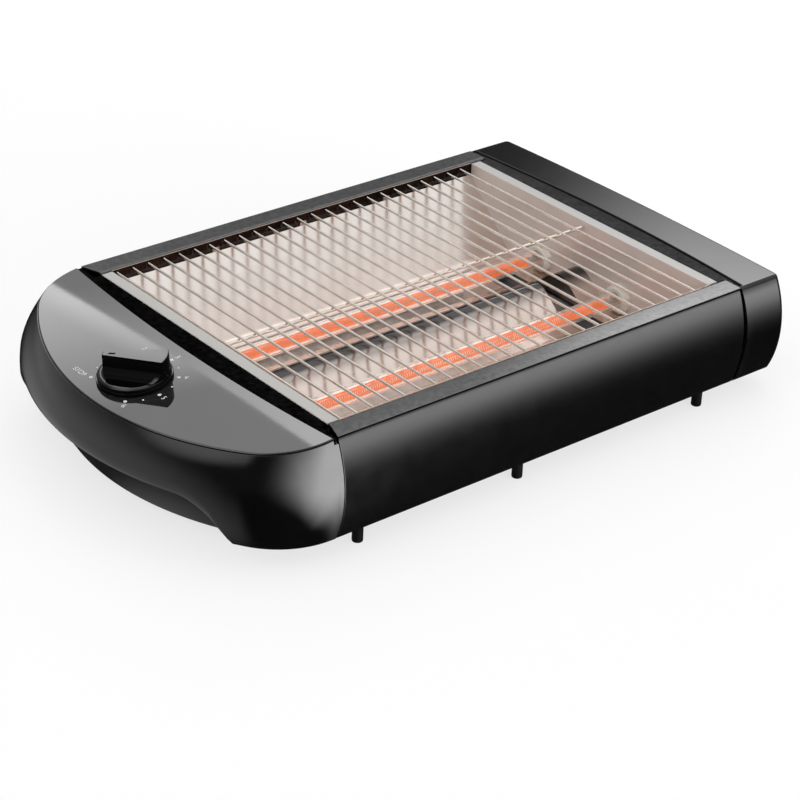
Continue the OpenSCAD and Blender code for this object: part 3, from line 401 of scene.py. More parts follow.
class Finish(Nodes):
    """Node material on the main shader, with textures sized in mm in the toaster's frame."""

    def __init__(self, name, metallic=0.0, ior=1.5, **sockets):
        self.material = bpy.data.materials.new(name)
        self.material.use_nodes = True
        super().__init__(self.material.node_tree)
        self.shader = self.tree.nodes["Principled BSDF"]
        self.shader.inputs["Metallic"].default_value = metallic
        self.shader.inputs["IOR"].default_value = ior
        for key, value in sockets.items():
            self.shader.inputs[key.replace("_", " ")].default_value = value
        self.where = self.node("TexCoord").outputs["Object"]
        self.shape = None

    def noise(self, size, detail, stretch=(1, 1, 1)):
        scale = [1 / s for s in stretch]
        where = self.node("Mapping", {"Vector": self.where, "Scale": scale}).outputs["Vector"]
        made = self.node("TexNoise", {"Vector": where, "Scale": 1 / (size * MM), "Detail": detail})
        return made.outputs["Fac"]

    def uneven(self, size, detail, low=0.0, high=1.0, stretch=(1, 1, 1)):
        """Noise, its usual range spread from low to high."""
        return self.scaled(self.noise(size, detail, stretch), 0.3, 0.7, low, high)

    def patchy(self, size, detail, dark, light):
        """Two tones of a colour, mixed by noise."""
        return self.blend(self.uneven(size, detail), dark, light)

    def edges(self):
        """Near 1 on outer edges, broken up as wear is."""
        point = self.node("NewGeometry").outputs["Pointiness"]
        return self.product(self.scaled(point, 0.53, 0.62, 0, 1),
                            self.scaled(self.noise(3.0, 4), 0.35, 0.65, 0, 1))

    def facing_up(self):
        """1 on faces that look up, 0 on upright ones."""
        normal = self.node("NewGeometry").outputs["Normal"]
        return self.scaled(self.dot(normal, (0, 0, 1)), 0.3, 0.7, 0, 1)

    def axis(self, name):
        """Coordinate in mm."""
        return self.product(self.node("SeparateXYZ", {"Vector": self.where}).outputs[name], 1 / MM)

    def put(self, socket, source):
        self.tree.links.new(source, self.shader.inputs[socket])

    def bump(self, height, depth):
        inputs = {"Height": height, "Distance": depth * MM, "Strength": 1.0}
        if self.shape:
            inputs["Normal"] = self.shape
        self.shape = self.node("Bump", inputs).outputs["Normal"]
        self.put("Normal", self.shape)


def coated(name, dark, light, rough, ior=1.45, blotch=30, grain=1.2, depth=0.006, worn=None, **sockets):
    """Plastic, paint, rubber or ceramic: slow change of tone, fine grain and worn edges."""
    f = Finish(name, ior=ior, **sockets)
    colour = f.patchy(blotch, 3, dark, light)
    if worn:
        colour = f.blend(f.edges(), colour, worn)
    f.put("Base Color", colour)
    f.put("Roughness", f.uneven(blotch / 3, 5, *rough))
    f.bump(f.noise(grain, 2), depth)
    return f.material


def metal(name, dark, light, rough, blotch=25, brush=(1, 1, 1), grain=0.5, depth=0.004):
    """Bare metal: stains, and drawing lines along one axis."""
    f = Finish(name, metallic=1.0)
    f.put("Base Color", f.patchy(blotch, 4, dark, light))
    f.put("Roughness", f.uneven(grain * 4, 3, *rough, stretch=brush))
    f.bump(f.noise(grain, 2, brush), depth)
    return f.material


ALONG_X, ALONG_Y = (30, 1, 1), (1, 30, 1)
SWELL, SWELL_L = 0.14, 22.5  # slope and length of the swell of the housing's wall
DEEP_BLACK = (0.0015, 0.0015, 0.0016), (0.0024, 0.0024, 0.0025)
FINISHES = {
    "gloss_black": coated("gloss_black", *DEEP_BLACK, (0.07, 0.10), ior=1.5, grain=0.9, depth=0.002,
                          worn=(0.02, 0.02, 0.02)),
    "black_enamel": coated("black_enamel", (0.0013, 0.0013, 0.0014), (0.0021, 0.0021, 0.0022), (0.14, 0.18),
                           ior=1.5, grain=1.6, depth=0.003, worn=(0.02, 0.02, 0.02)),
    "matt_black": coated("matt_black", (0.012, 0.012, 0.012), (0.017, 0.017, 0.017), (0.42, 0.55),
                         ior=1.4, grain=0.5, depth=0.003, worn=(0.04, 0.04, 0.04), Specular_IOR_Level=0.12),
    "panel_black": coated("panel_black", (0.012, 0.012, 0.013), (0.016, 0.016, 0.017), (0.014, 0.020),
                          ior=1.6, grain=0.9, depth=0.0006, worn=(0.05, 0.05, 0.05)),
    "bright_steel": metal("bright_steel", (0.70, 0.64, 0.57), (0.84, 0.79, 0.73), (0.05, 0.10),
                          blotch=12, grain=0.3),
    "plain_steel": metal("plain_steel", (0.42, 0.42, 0.43), (0.56, 0.56, 0.56), (0.28, 0.42),
                         brush=ALONG_X, grain=0.5),
    "ceramic": coated("ceramic", (0.88, 0.84, 0.75), (0.95, 0.92, 0.85), (0.5, 0.7), ior=1.5,
                      blotch=6, grain=0.5, depth=0.03, worn=(0.74, 0.68, 0.58)),
    "brass": metal("brass", (0.55, 0.38, 0.14), (0.72, 0.52, 0.22), (0.2, 0.35), grain=0.4),
    "timer_case": coated("timer_case", (0.44, 0.44, 0.42), (0.52, 0.52, 0.5), (0.4, 0.55), grain=0.5,
                         depth=0.02),
    "black_base": coated("black_base", (0.012, 0.012, 0.012), (0.022, 0.022, 0.022), (0.38, 0.55),
                         grain=0.7, depth=0.015, worn=(0.12, 0.12, 0.12)),
    "rubber": coated("rubber", (0.003, 0.003, 0.003), (0.006, 0.006, 0.006), (0.7, 0.85), grain=0.4,
                     depth=0.02, Specular_IOR_Level=0.1),
    "lead_brown": coated("lead_brown", (0.07, 0.03, 0.012), (0.10, 0.045, 0.018), (0.35, 0.5)),
    "lead_black": coated("lead_black", (0.010, 0.010, 0.010), (0.018, 0.018, 0.018), (0.35, 0.5)),
    "lead_blue": coated("lead_blue", (0.012, 0.035, 0.16), (0.018, 0.05, 0.22), (0.35, 0.5)),
    "lead_white": coated("lead_white", (0.72, 0.71, 0.66), (0.82, 0.81, 0.77), (0.4, 0.55), grain=0.3),
    "lead_earth": coated("lead_earth", (0.10, 0.19, 0.012), (0.14, 0.25, 0.02), (0.35, 0.5)),
}


def heated_sheet():
    """Polished reflector sheet, tinted by heat near the tubes; the crest of its ridge is painted dark, a
    painted dark reflection.
    """
    f = Finish("polished_sheet", metallic=1.0)
    colour = f.patchy(18, 4, (0.84, 0.76, 0.71), (0.92, 0.86, 0.82))
    across = f.math("ABSOLUTE", f.axis("Y"))
    away = f.math("ABSOLUTE", f.math("SUBTRACT", across, TUBE_Y))
    heat = f.product(f.scaled(away, 4, 50, 1, 0), f.uneven(40, 3, 0.5, 1))
    colour = f.blend(heat, colour, (0.78, 0.61, 0.53))
    # Painted dark reflection: along the ridge's crest the sheet's colour is blended to near black.
    crest = f.product(f.ramp(across, 13.5, 3), 0.95)
    f.put("Base Color", f.blend(crest, colour, (0.05, 0.05, 0.053)))
    streaks = f.uneven(2.5, 3, 0.06, 0.10, stretch=ALONG_X)
    f.put("Roughness", f.sum(streaks, f.scaled(across, 25, 50, 0.02, 0.11)))
    f.bump(f.noise(40, 1), 0.18)
    f.bump(f.noise(0.6, 2, ALONG_X), 0.003)
    return f.material


def quartz():
    # Painted glow: the glass gives off a faint pinkish light of its own, standing in for the coil's light
    # scattered in the quartz.
    f = Finish("quartz", ior=1.46, Transmission_Weight=1.0, Emission_Strength=0.03)
    f.put("Base Color", f.blend(f.noise(30, 3), (0.97, 0.93, 0.90), (1.0, 0.98, 0.96)))
    f.put("Emission Color", f.blend(f.noise(20, 2), (1.0, 0.66, 0.54), (1.0, 0.78, 0.68)))
    f.put("Roughness", f.uneven(8, 4, 0.02, 0.10, stretch=ALONG_X))
    f.bump(f.noise(3, 2, ALONG_X), 0.01)
    return f.material


def glowing_coil():
    f = Finish("coil", metallic=1.0, Emission_Strength=1.0)
    f.put("Base Color", f.blend(f.noise(10, 2), (0.10, 0.05, 0.03), (0.16, 0.08, 0.05)))
    f.put("Emission Color", f.patchy(16, 2, (0.70, 0.095, 0.004), (0.82, 0.145, 0.010)))
    f.put("Roughness", f.uneven(2, 2, 0.4, 0.6))
    f.bump(f.noise(0.3, 2), 0.01)
    return f.material


def ledge_grey():
    """Grey painted ledge; its upright faces, the lip inside among them, are painted near black as shade."""
    f = Finish("ledge_grey", ior=1.55)
    colour = f.patchy(30, 3, (0.054, 0.054, 0.055), (0.064, 0.064, 0.066))
    colour = f.blend(f.edges(), colour, (0.16, 0.16, 0.16))
    # Painted shade: every face that doesn't look up gets a near-black colour.
    f.put("Base Color", f.blend(f.facing_up(), (0.006, 0.005, 0.005), colour))
    f.put("Roughness", f.uneven(10, 5, 0.14, 0.17))
    f.bump(f.noise(0.6, 2), 0.0008)
    return f.material


def plate_sheet():
    """End plate, half dulled by heat; its turned edge on top is duller."""
    f = Finish("plate_sheet", metallic=0.2)
    colour = f.patchy(30, 4, (0.74, 0.64, 0.59), (0.81, 0.73, 0.68))
    f.put("Base Color", f.blend(f.facing_up(), colour, (0.54, 0.53, 0.51)))
    f.put("Roughness", f.uneven(2.4, 3, 0.36, 0.46, stretch=ALONG_Y))
    f.bump(f.noise(0.6, 2, ALONG_Y), 0.003)
    return f.material


def comb_sheet():
    """Upright sheet painted near black as shade, with its top cut edges painted lighter, as lit."""
    f = Finish("comb_sheet", metallic=1.0)
    # Painted shade and light: upright faces get a near-black colour, faces that look up a light brown one.
    shaded_sides = f.patchy(14, 4, (0.010, 0.007, 0.006), (0.028, 0.019, 0.015))
    f.put("Base Color", f.blend(f.facing_up(), shaded_sides, (0.46, 0.36, 0.30)))
    f.put("Roughness", f.uneven(1.6, 3, 0.3, 0.45))
    f.bump(f.noise(0.4, 2), 0.004)
    return f.material


def swelling_gloss():
    """The housing's gloss; its wall swells a little toward the seam, which turns the highlight."""
    f = Finish("housing_gloss")
    f.put("Base Color", f.blend(f.edges(), f.patchy(30, 3, *DEEP_BLACK), (0.02, 0.02, 0.02)))
    f.put("Roughness", f.uneven(10, 5, 0.10, 0.14))
    past = f.math("MAXIMUM", f.math("SUBTRACT", f.axis("X"), MID_X - SEAM_X - SWELL_L), 0.0)
    f.bump(f.product(past, past, SWELL / (2 * SWELL_L)), 1)
    f.bump(f.noise(0.9, 2), 0.002)
    return f.material


def knob_black():
    """Gloss on the grip's top and the skirt; the finger flanks are painted darker and almost without gloss,
    as painted dark reflection.
    """
    f = Finish("knob_black", ior=1.6)
    tone = f.uneven(30, 3)
    flat = f.dot(f.node("NewGeometry").outputs["Normal"], PANEL_UP)
    centre = ((KNOB_X + MID_X) * MM, 0, panel_z(KNOB_X) * MM)
    out = f.node("VectorMath", {0: f.where, 1: centre}, operation="SUBTRACT").outputs["Vector"]
    raised = f.product(f.dot(out, PANEL_UP), 1 / MM)
    reach = f.product(f.node("VectorMath", {0: out}, operation="LENGTH").outputs["Value"], 1 / MM)
    grip_top = f.ramp(raised, 11.5, 13)
    skirt = f.product(f.ramp(reach, 17.2, 18), f.ramp(raised, 7, 6))
    along = f.product(f.ramp(flat, 0.75, 0.97), f.math("MAXIMUM", grip_top, skirt))
    # Painted dark reflection: the finger flanks get a darker colour and almost no gloss.
    gloss = f.blend(tone, (0.012, 0.012, 0.013), (0.016, 0.016, 0.017))
    dark_flanks = f.blend(tone, (0.0012, 0.0012, 0.0012), (0.0018, 0.0018, 0.0018))
    f.put("Base Color", f.blend(along, dark_flanks, gloss))
    f.put("Specular IOR Level", f.scaled(along, 0, 1, 0.02, 0.5))
    f.put("Roughness", f.uneven(10, 5, 0.03, 0.05))
    f.bump(f.noise(0.9, 2), 0.0006)
    return f.material


FINISHES.update(ledge_grey=ledge_grey(), polished_sheet=heated_sheet(), quartz=quartz(), coil=glowing_coil())
COMB_SHEET = comb_sheet()
HOUSING_GLOSS = swelling_gloss()
KNOB_BLACK = knob_black()
PLATE_SHEET = plate_sheet()
# Front trim strip: black, with no gloss at all and its colour near zero so that it is as dark as shade;
# partly its own black, partly painted shade.
STRIP_BLACK = coated("strip_black", (0.0010, 0.0010, 0.0010), (0.0018, 0.0018, 0.0018), (0.4, 0.55),
                     ior=1.4, grain=0.5, depth=0.006, worn=(0.008, 0.008, 0.008), Specular_IOR_Level=0.0)
DIAL_WHITE = coated("dial_white", (0.76, 0.76, 0.76), (0.84, 0.84, 0.84), (0.35, 0.5), grain=0.3,
                    blotch=4, depth=0.01)

# CAD pieces that the scene shows as they are
OWN_FINISHES = {"front_trim_strip": STRIP_BLACK,
                "front_end_plate": PLATE_SHEET, "rear_end_plate": PLATE_SHEET,
                "wire_comb_right": COMB_SHEET, "wire_comb_left": COMB_SHEET}
for part in frame["record"]["subparts"]:
    node = frame["nodes"][part["node"]]
    node.data.materials.clear()
    node.data.materials.append(OWN_FINISHES.get(part["node"]) or FINISHES[part["material_slot"]])

# ---------------------------------------------------------------- front housing
EDGE_ROUND = 0.15
FOOT_ROUND = 0.8
ARCH_ROUND = 2.1
ROUND_STEP = 0.25
ARCH_ROLL = 1.6
WALL_STEPS = 18
INNER_SHARE = 0.08
SEAT_T = 2
NOTCH_Z = BODY_H - STRIP_DROP - STRIP_T - GAP


def arch_outline(clear=0.0):
    """Points (y, z) of half the arch, from its foot to the middle."""
    r = ARCH_R - clear
    mid_y, mid_z = ARCH_HALF - ARCH_R, ARCH_TOP - ARCH_R
    turn = [(mid_y + r * math.cos(a), mid_z + r * math.sin(a)) for a in span(0, math.pi / 2, 14)]
    return turn + [(y, ARCH_TOP - clear) for y in span(mid_y, 0, 14)[1:]]


def wall_share(angle, z):
    """Share of the front wall's height, from the top, at a height."""
    top = panel_z(plan_point(angle, 0)[0])
    return (top - z) / (top - SIDE_Z)


def angle_at(y, z):
    """Plan angle at which the outer wall passes through a place (y, z)."""
    low, high = 0.0, math.radians(60)
    for _ in range(50):
        mid = (low + high) / 2
        out = wall_out(wall_share(mid, z), front_bulge(mid))
        if plan_point(mid, out)[1] < y:
            low = mid
        else:
            high = mid
    return (low + high) / 2


def housing_column(angle, foot_t, foot_round, x=None, notch=False):
    """Closed section of the front wall at a plan angle, or at a seam where x is given."""
    top = panel_z(plan_point(angle, 0)[0] if x is None else x)
    height = top - SIDE_Z
    bulge = front_bulge(angle)
    tilt = math.cos(angle) * math.tan(SLOPE)

    def wall(t):
        return Vector((wall_out(t, bulge), top - height * t))

    down = top - NOTCH_Z if notch else LID_T / math.cos(SLOPE)
    rim_t = down / height
    edge_t = rim_t + EDGE_ROUND / math.hypot(WALL_LEAN + 4 * bulge, height)
    roll = 1 + ARCH_ROLL * (foot_round - FOOT_ROUND) / (ARCH_ROUND - FOOT_ROUND)
    low_t = foot_t - foot_round * roll / height
    inward = Vector((-1, 0 if notch else tilt))
    loop = [wall(rim_t) + inward * SHELL_T]
    loop += curve(wall(rim_t) + inward.normalized() * EDGE_ROUND, wall(rim_t), wall(edge_t), 4)
    loop += [wall(t) for t in span(edge_t, low_t, WALL_STEPS)[1:-1]]
    loop += curve(wall(low_t), wall(foot_t), wall(foot_t) - Vector((foot_round, 0)), 8)
    loop += [wall(t) - Vector((SHELL_T, 0)) for t in span(foot_t, INNER_SHARE, WALL_STEPS)]
    if x is None:
        return [(*plan_point(angle, n), z) for n, z in loop]
    return [(x, math.copysign(HALF_W + n, angle), z) for n, z in loop]


def front_housing():
    notch = math.acos(GAP / CORNER_R)
    half = [(math.pi / 2, 1, FOOT_ROUND, -SEAM_X - GAP, True)]
    half += [(a, 1, FOOT_ROUND, None, True) for a in (math.pi / 2, notch)]
    half += [(a, 1, FOOT_ROUND, None, False) for a in span(notch - 1e-4, ARC_SPLIT, 22)]
    leg = angle_at(ARCH_HALF, SIDE_Z)
    half += [(a, 1, FOOT_ROUND, None, False) for a in span(ARC_SPLIT, leg, 2)[1:]]
    for k, (y, z) in enumerate(arch_outline()):
        angle = angle_at(y, z)
        half.append((angle, wall_share(angle, z), min(ARCH_ROUND, FOOT_ROUND + ROUND_STEP * k), None, False))
    columns = half + [(-c[0], *c[1:]) for c in reversed(half[:-1])]
    build = Build().loft([housing_column(*c) for c in columns])
    seat = []
    seat_in, seat_out = -SHELL_T - RIM_W, -SHELL_T + 0.5
    seat_end = math.pi / 2 - 0.12
    for angle in span(seat_end, -seat_end, 80):
        points = []
        for out, down in ((seat_in, 0), (seat_out, 0), (seat_out, SEAT_T), (seat_in, SEAT_T)):
            x, y = plan_point(angle, out)
            points.append((x, y, panel_z(x) - (PANEL_T + CLEAR + down) / math.cos(SLOPE)))
        seat.append(points)
    build.loft(seat)
    ob = to_object("front_housing_shell", build)
    dress(shade(ob), "gloss_black", ["front_housing"], finish=HOUSING_GLOSS)


def control_panel():
    """Panel that lies over the housing's wall; its edge follows the wall's slope."""
    round_r, edge_t = 0.35, 0.45
    core = SHELL_T + PANEL_GAP
    levels = [(round_r * (1 - s) ** 2, round_r * s * s, 1) for s in span(0, 1, 4)]
    levels += [(0, edge_t, 1), (core, edge_t, 0), (core, PANEL_T, 0)]
    limit = math.radians(89.2)
    rings = []
    for inset, down, slant in levels:
        outline = []
        for a in span(limit, -limit, 120):
            height = panel_z(plan_point(a, 0)[0]) - SIDE_Z
            outline.append(plan_point(a, slant * wall_out(down / height, front_bulge(a)) - inset))
        end = outline[-1][1]
        back = min(inset, round_r)
        outline += [(edge_x(y) - back, y) for y in span(end, -end, 40)]
        rings.append([(x, y, panel_z(x) - down / math.cos(SLOPE)) for x, y in outline])
    ob = to_object("control_panel_plate", Build().loft(rings))
    through = 6
    holes = [Build().rod(TIMER_BUSH_HOLE_D / 2, -through, through, ON_PANEL)]
    for side in (-1, 1):
        place = ON_PANEL @ Matrix.Translation((side * TIMER_SCREW_R, 0, 0))
        holes.append(Build().rod(TIMER_SCREW_HOLE_D / 2, -through, through, place, 24))
    combine(ob, [to_object("hole", h) for h in holes], "DIFFERENCE")
    dress(shade(ob), "panel_black", ["control_panel"])


# ---------------------------------------------------------------- end cap
CAP_EDGE = 1.6
CAP_FOOT = 0.6
CAP_CORNER = 3.0


def cap_outline(inset, z):
    """The cap's side, rear and side walls in plan at a height, from one seam to the other."""
    y = wall_y(z, WALL_BULGE + CAP_PROUD) - inset
    start = SEAM_X + GAP
    corner = max(0.5, CAP_CORNER - inset)
    rear_y = y - corner
    side = [(x, -y) for x in span(start, rear_x(rear_y, inset) - corner, 4)]
    turn = curve(Vector(side[-1]), Vector((rear_x(y, inset), -y)),
                 Vector((rear_x(rear_y, inset), -rear_y)), 6)
    rear = [(rear_x(v, inset), v) for v in span(-rear_y, rear_y, 36)]
    half = side + [tuple(p) for p in turn[1:]]
    return half + rear[1:-1] + [(x, -v) for x, v in reversed(half)]


def end_cap():
    """Shell open below, with a lip over the end of the grill and a drilled seat for the cord bush."""
    levels = [(CAP_FOOT, SIDE_Z)] + [(0, z) for z in span(SIDE_Z + CAP_FOOT, BODY_H - CAP_EDGE, 22)]
    levels += [(CAP_EDGE * s * s, BODY_H - CAP_EDGE * (1 - s) ** 2) for s in span(0, 1, 5)[1:]]
    outer = [[(x, y, z) for x, y in cap_outline(inset, z)] for inset, z in levels]
    inner = [[(x, y, z) for x, y in cap_outline(SHELL_T, z)] for z in span(SIDE_Z, BODY_H - SHELL_T, 20)]
    build = Build()
    build.loft(outer, closed=False, ends=False)
    build.loft(inner, closed=False, ends=False)
    build.loft([outer[0], inner[0]], closed=False, ends=False)
    for k in (0, -1):
        build.face([ring[k] for ring in outer] + [ring[k] for ring in reversed(inner)])
    reach = outer[-1][-1][1]
    reach_in = inner[-1][-1][1]
    lip = []
    for back, down in ((0.6, 0), (0.25, 0.1), (0.05, 0.3), (0, 0.7)):
        lip.append([(-edge_x(y) + back, y, BODY_H - down) for y in span(reach, -reach, 40)])
    lip.append([(-edge_x(y), y, BODY_H - SHELL_T) for y in span(reach_in, -reach_in, 40)])
    build.loft(lip, closed=False, ends=False)
    build.face(outer[-1] + lip[0])
    build.face(inner[-1] + lip[-1])
    build.face([outer[-1][-1]] + [row[0] for row in lip] + [inner[-1][-1]])
    build.face([outer[-1][0]] + [row[-1] for row in lip] + [inner[-1][0]])
    ob = to_object("end_cap_shell", build)
    seat = rear_x(BUSH_Y + BUSH_COLLAR_D / 2) - BUSH_RECESS
    along = Matrix.Translation((0, BUSH_Y, BUSH_Z)) @ Matrix.Rotation(math.pi / 2, 4, "Y")
    drills = []
    for r, x in ((BUSH_HOLE_D / 2, seat - 8), (BUSH_COLLAR_D / 2 + CLEAR, seat)):
        drills.append(to_object("drill", Build().rod(r, x, seat + 20, along)))
    combine(ob, drills, "DIFFERENCE")
    dress(shade(ob), "gloss_black", ["end_cap"])


# ---------------------------------------------------------------- side panels and rails
def mirrored(build, side):
    build.verts = [(x, side * y, z) for x, y, z in build.verts]
    return build


LEDGE_EDGE = 0.6
LEDGE_SLANT = 4.5
CAP_JOINT = 1.4


def side_panel(side, hand):
    outer = [Vector((wall_y(z, WALL_BULGE), z)) for z in span(BODY_H - LEDGE_EDGE - GAP, SIDE_Z + 1.2, 40)]
    foot_y = HALF_W + WALL_LEAN
    flange = Vector((foot_y - FLANGE_W, SIDE_Z))
    bend = curve(outer[-1], Vector((foot_y, SIDE_Z)), Vector((foot_y - 1.6, SIDE_Z)), 5)
    face = outer[:-1] + bend + [flange]
    back = offset(face, -SIDE_T)
    build = Build().extrude(face + back[::-1], -SEAM_X + GAP, SEAM_X - CAP_JOINT)
    ob = to_object("side_sheet_" + hand, mirrored(build, side))
    dress(shade(ob, bevel=0.3, bevel_angle=50), "black_enamel", ["side_panel_" + hand])


def side_rail(side, hand):
    """Ledge with a lip inside and a hook over the side panel's edge; its front end is slanted."""
    bend = 1.6
    out, under, lip_z, hook_z = HALF_W + CLEAR, BODY_H - RAIL_T, BODY_H - RAIL_LIP, BODY_H - RAIL_LIP / 2
    hook_in, lip_back = RAIL_OUT - RAIL_T, RAIL_IN + RAIL_T
    face = rounded([(RAIL_IN, lip_z), (RAIL_IN, BODY_H), (out, BODY_H)], bend, 6)
    hook = [(out, BODY_H - LEDGE_EDGE), (RAIL_OUT, BODY_H - LEDGE_EDGE), (RAIL_OUT, hook_z),
            (hook_in, hook_z), (hook_in, under)]
    back = rounded([(hook_in - 1, under), (lip_back, under), (lip_back, lip_z)], bend - RAIL_T, 6)
    section = [tuple(p) for p in face] + hook + [tuple(p) for p in back]
    front = [(-SEAM_X + GAP + LEDGE_SLANT * min(1, (out - y) / (out - RAIL_IN)), y, z) for y, z in section]
    build = Build().loft([front, [(SEAM_X - GAP, y, z) for y, z in section]])
    ob = to_object("ledge_rail_" + hand, mirrored(build, side))
    dress(shade(ob, bevel=0.25, bevel_angle=60), "ledge_grey", ["side_rail_" + hand])


# ---------------------------------------------------------------- grill, reflector, tubes
def grill():
    build = Build()
    reach = RAIL_IN + RAIL_T
    for i in range(WIRE_COUNT):
        x = FIRST_WIRE_X + i * WIRE_PITCH
        build.sweep([(x, y, WIRE_Z) for y in span(-reach, reach, 12)], WIRE_D / 2, 16)
    dress(shade(to_object("grill_rods", build)), "bright_steel", ["grill_wires"])
    end, hook_z = PLATE_X + SHEET_T + SUPPORT_D, SUPPORT_Z - SUPPORT_HOOK
    path = rounded([(-end, hook_z), (-end, SUPPORT_Z), (end, SUPPORT_Z), (end, hook_z)], 1.6, 8)
    support = to_object("support_rod", Build().sweep([(p.x, 0, p.y) for p in path], SUPPORT_D / 2, 16))
    dress(shade(support), "bright_steel", ["support_wire"])


def reflector():
    side_y = RAIL_IN - 2 * CLEAR - 0.6
    crest = FLOOR_Z + RIDGE_H
    rise = [(side_y, BODY_H - RIM_DROP), (FLOOR_W / 2, FLOOR_Z), (RIDGE_W / 2, FLOOR_Z), (0, crest)]
    face = rounded(rise + [(-y, z) for y, z in reversed(rise[:-1])], 13, 14)
    section = face + offset(face, SHEET_T)[::-1]
    end = PLATE_X - CLEAR
    ob = to_object("reflector_trough",
                   Build().loft([[(x, y, z) for y, z in section] for x in span(-end, end, 24)]))
    x, past = PLATE_X - SLOT_IN, 4
    cutter = Build().box((x - SLOT_W, -SLOT_L / 2, FLOOR_Z - past), (x, SLOT_L / 2, crest + past))
    combine(ob, [to_object("slot", cutter)], "DIFFERENCE")
    dress(shade(ob), "polished_sheet", ["reflector"])


def heating_tube(side, name):
    lie = Matrix.Translation((0, side * TUBE_Y, TUBE_Z)) @ Matrix.Rotation(math.pi / 2, 4, "Y")
    out, bore = TUBE_D / 2, TUBE_D / 2 - TUBE_WALL
    profile = [(bore, -TUBE_END), (out, -TUBE_END)]
    profile += [(out, z) for z in span(-TUBE_END + 0.5, TUBE_END - 0.5, 30)]
    profile += [(out, TUBE_END), (bore, TUBE_END)]
    tube = to_object("quartz_tube_" + name, Build().lathe(profile, lie, 48))
    dress(shade(tube), "quartz", ["heating_tube_" + name])
    pitch, per_turn = 1.5, 14
    radius, start = (COIL_D - COIL_T) / 2, COIL_END - 0.5
    points = []
    for k in range(int(2 * start / pitch * per_turn) + 1):
        a = 2 * math.pi * k / per_turn
        points.append((-start + pitch * k / per_turn, side * TUBE_Y + radius * math.cos(a),
                       TUBE_Z + radius * math.sin(a)))
    coil = to_object("coil_winding_" + name, Build().sweep(points, COIL_T / 2, 6))
    dress(shade(coil), "coil", ["heating_coil_" + name])


def tube_holders(end, name):
    """Eight-sided collars on the end plate, each with a round hub, cup and pin hole."""
    build = Build()
    body_r, pin_r, cup = HOLDER_BODY_D / 2, PIN_D / 2 + CLEAR, TUBE_D / 2 + CLEAR
    hub, cup_depth, corner_grow = body_r + 0.8, 6, 1.04
    low, floor, tip = -HOLDER_COLLAR - CLEAR, cup_depth - HOLDER_COLLAR, SHEET_T + HOLDER_BODY_L
    eighth = math.pi / 8
    for side in (-1, 1):
        place = Matrix.Translation((end * PLATE_X, side * TUBE_Y, TUBE_Z))
        place = place @ Matrix.Rotation(end * math.pi / 2, 4, "Y")
        rings = []
        for a in turns(64):
            turn = (a + eighth) % (2 * eighth) - eighth
            flat = HOLDER_D / 2 * math.cos(eighth) / math.cos(turn) * corner_grow
            loop = [(cup, low - 0.9), (hub - 0.4, low - 0.9), (hub, low - 0.5), (hub, low), (flat - 0.6, low),
                    (flat, low + 0.6), (flat, -CLEAR), (body_r, -CLEAR), (body_r, tip - 0.5),
                    (body_r - 0.5, tip), (pin_r, tip), (pin_r, floor), (cup, floor)]
            rings.append([place @ Vector((r * math.cos(a), r * math.sin(a), z)) for r, z in loop])
        build.loft(rings, loop=True)
    ob = to_object("ceramic_collars_" + name, build)
    dress(shade(ob, angle=30), "ceramic", ["tube_holders_" + name])


# ---------------------------------------------------------------- crumb tray's front piece
def tray_front():
    """Piece under the arch, leaning out and slightly hollow, with a rounded top edge."""
    hollow, edge, steps = 2.2, 0.8, 12
    foot_r, height = FRONT_R - TRAY_FRONT_IN, ARCH_TOP - TRAY_FOOT
    lean = (TRAY_FRONT_OUT + TRAY_FRONT_IN) / height
    half = []
    for y, z in arch_outline(TRAY_CLEAR + 0.2):
        half.append((math.asin(min(1, y / (foot_r + lean * (z - TRAY_FOOT)))), z))
    rings = []
    for angle, top in half + [(-a, z) for a, z in reversed(half[:-1])]:
        face = []
        for z in span(TRAY_FOOT, top - edge, steps):
            share = (z - TRAY_FOOT) / height
            face.append(Vector((foot_r + lean * (z - TRAY_FOOT) - hollow * share * (1 - share), z)))
        last = face[-1]
        loop = face + curve(last, Vector((last.x + 0.4, top)), Vector((last.x - 0.6, top)), 4)[1:]
        loop += [Vector((p.x - TRAY_FRONT_T, p.y)) for p in reversed(face)]
        rings.append([(FRONT_X - p.x * math.cos(angle), p.x * math.sin(angle), p.y) for p in loop])
    ob = to_object("tray_front_piece", Build().loft(rings))
    dress(shade(ob), "gloss_black", ["crumb_tray_front"], body="crumb_tray")


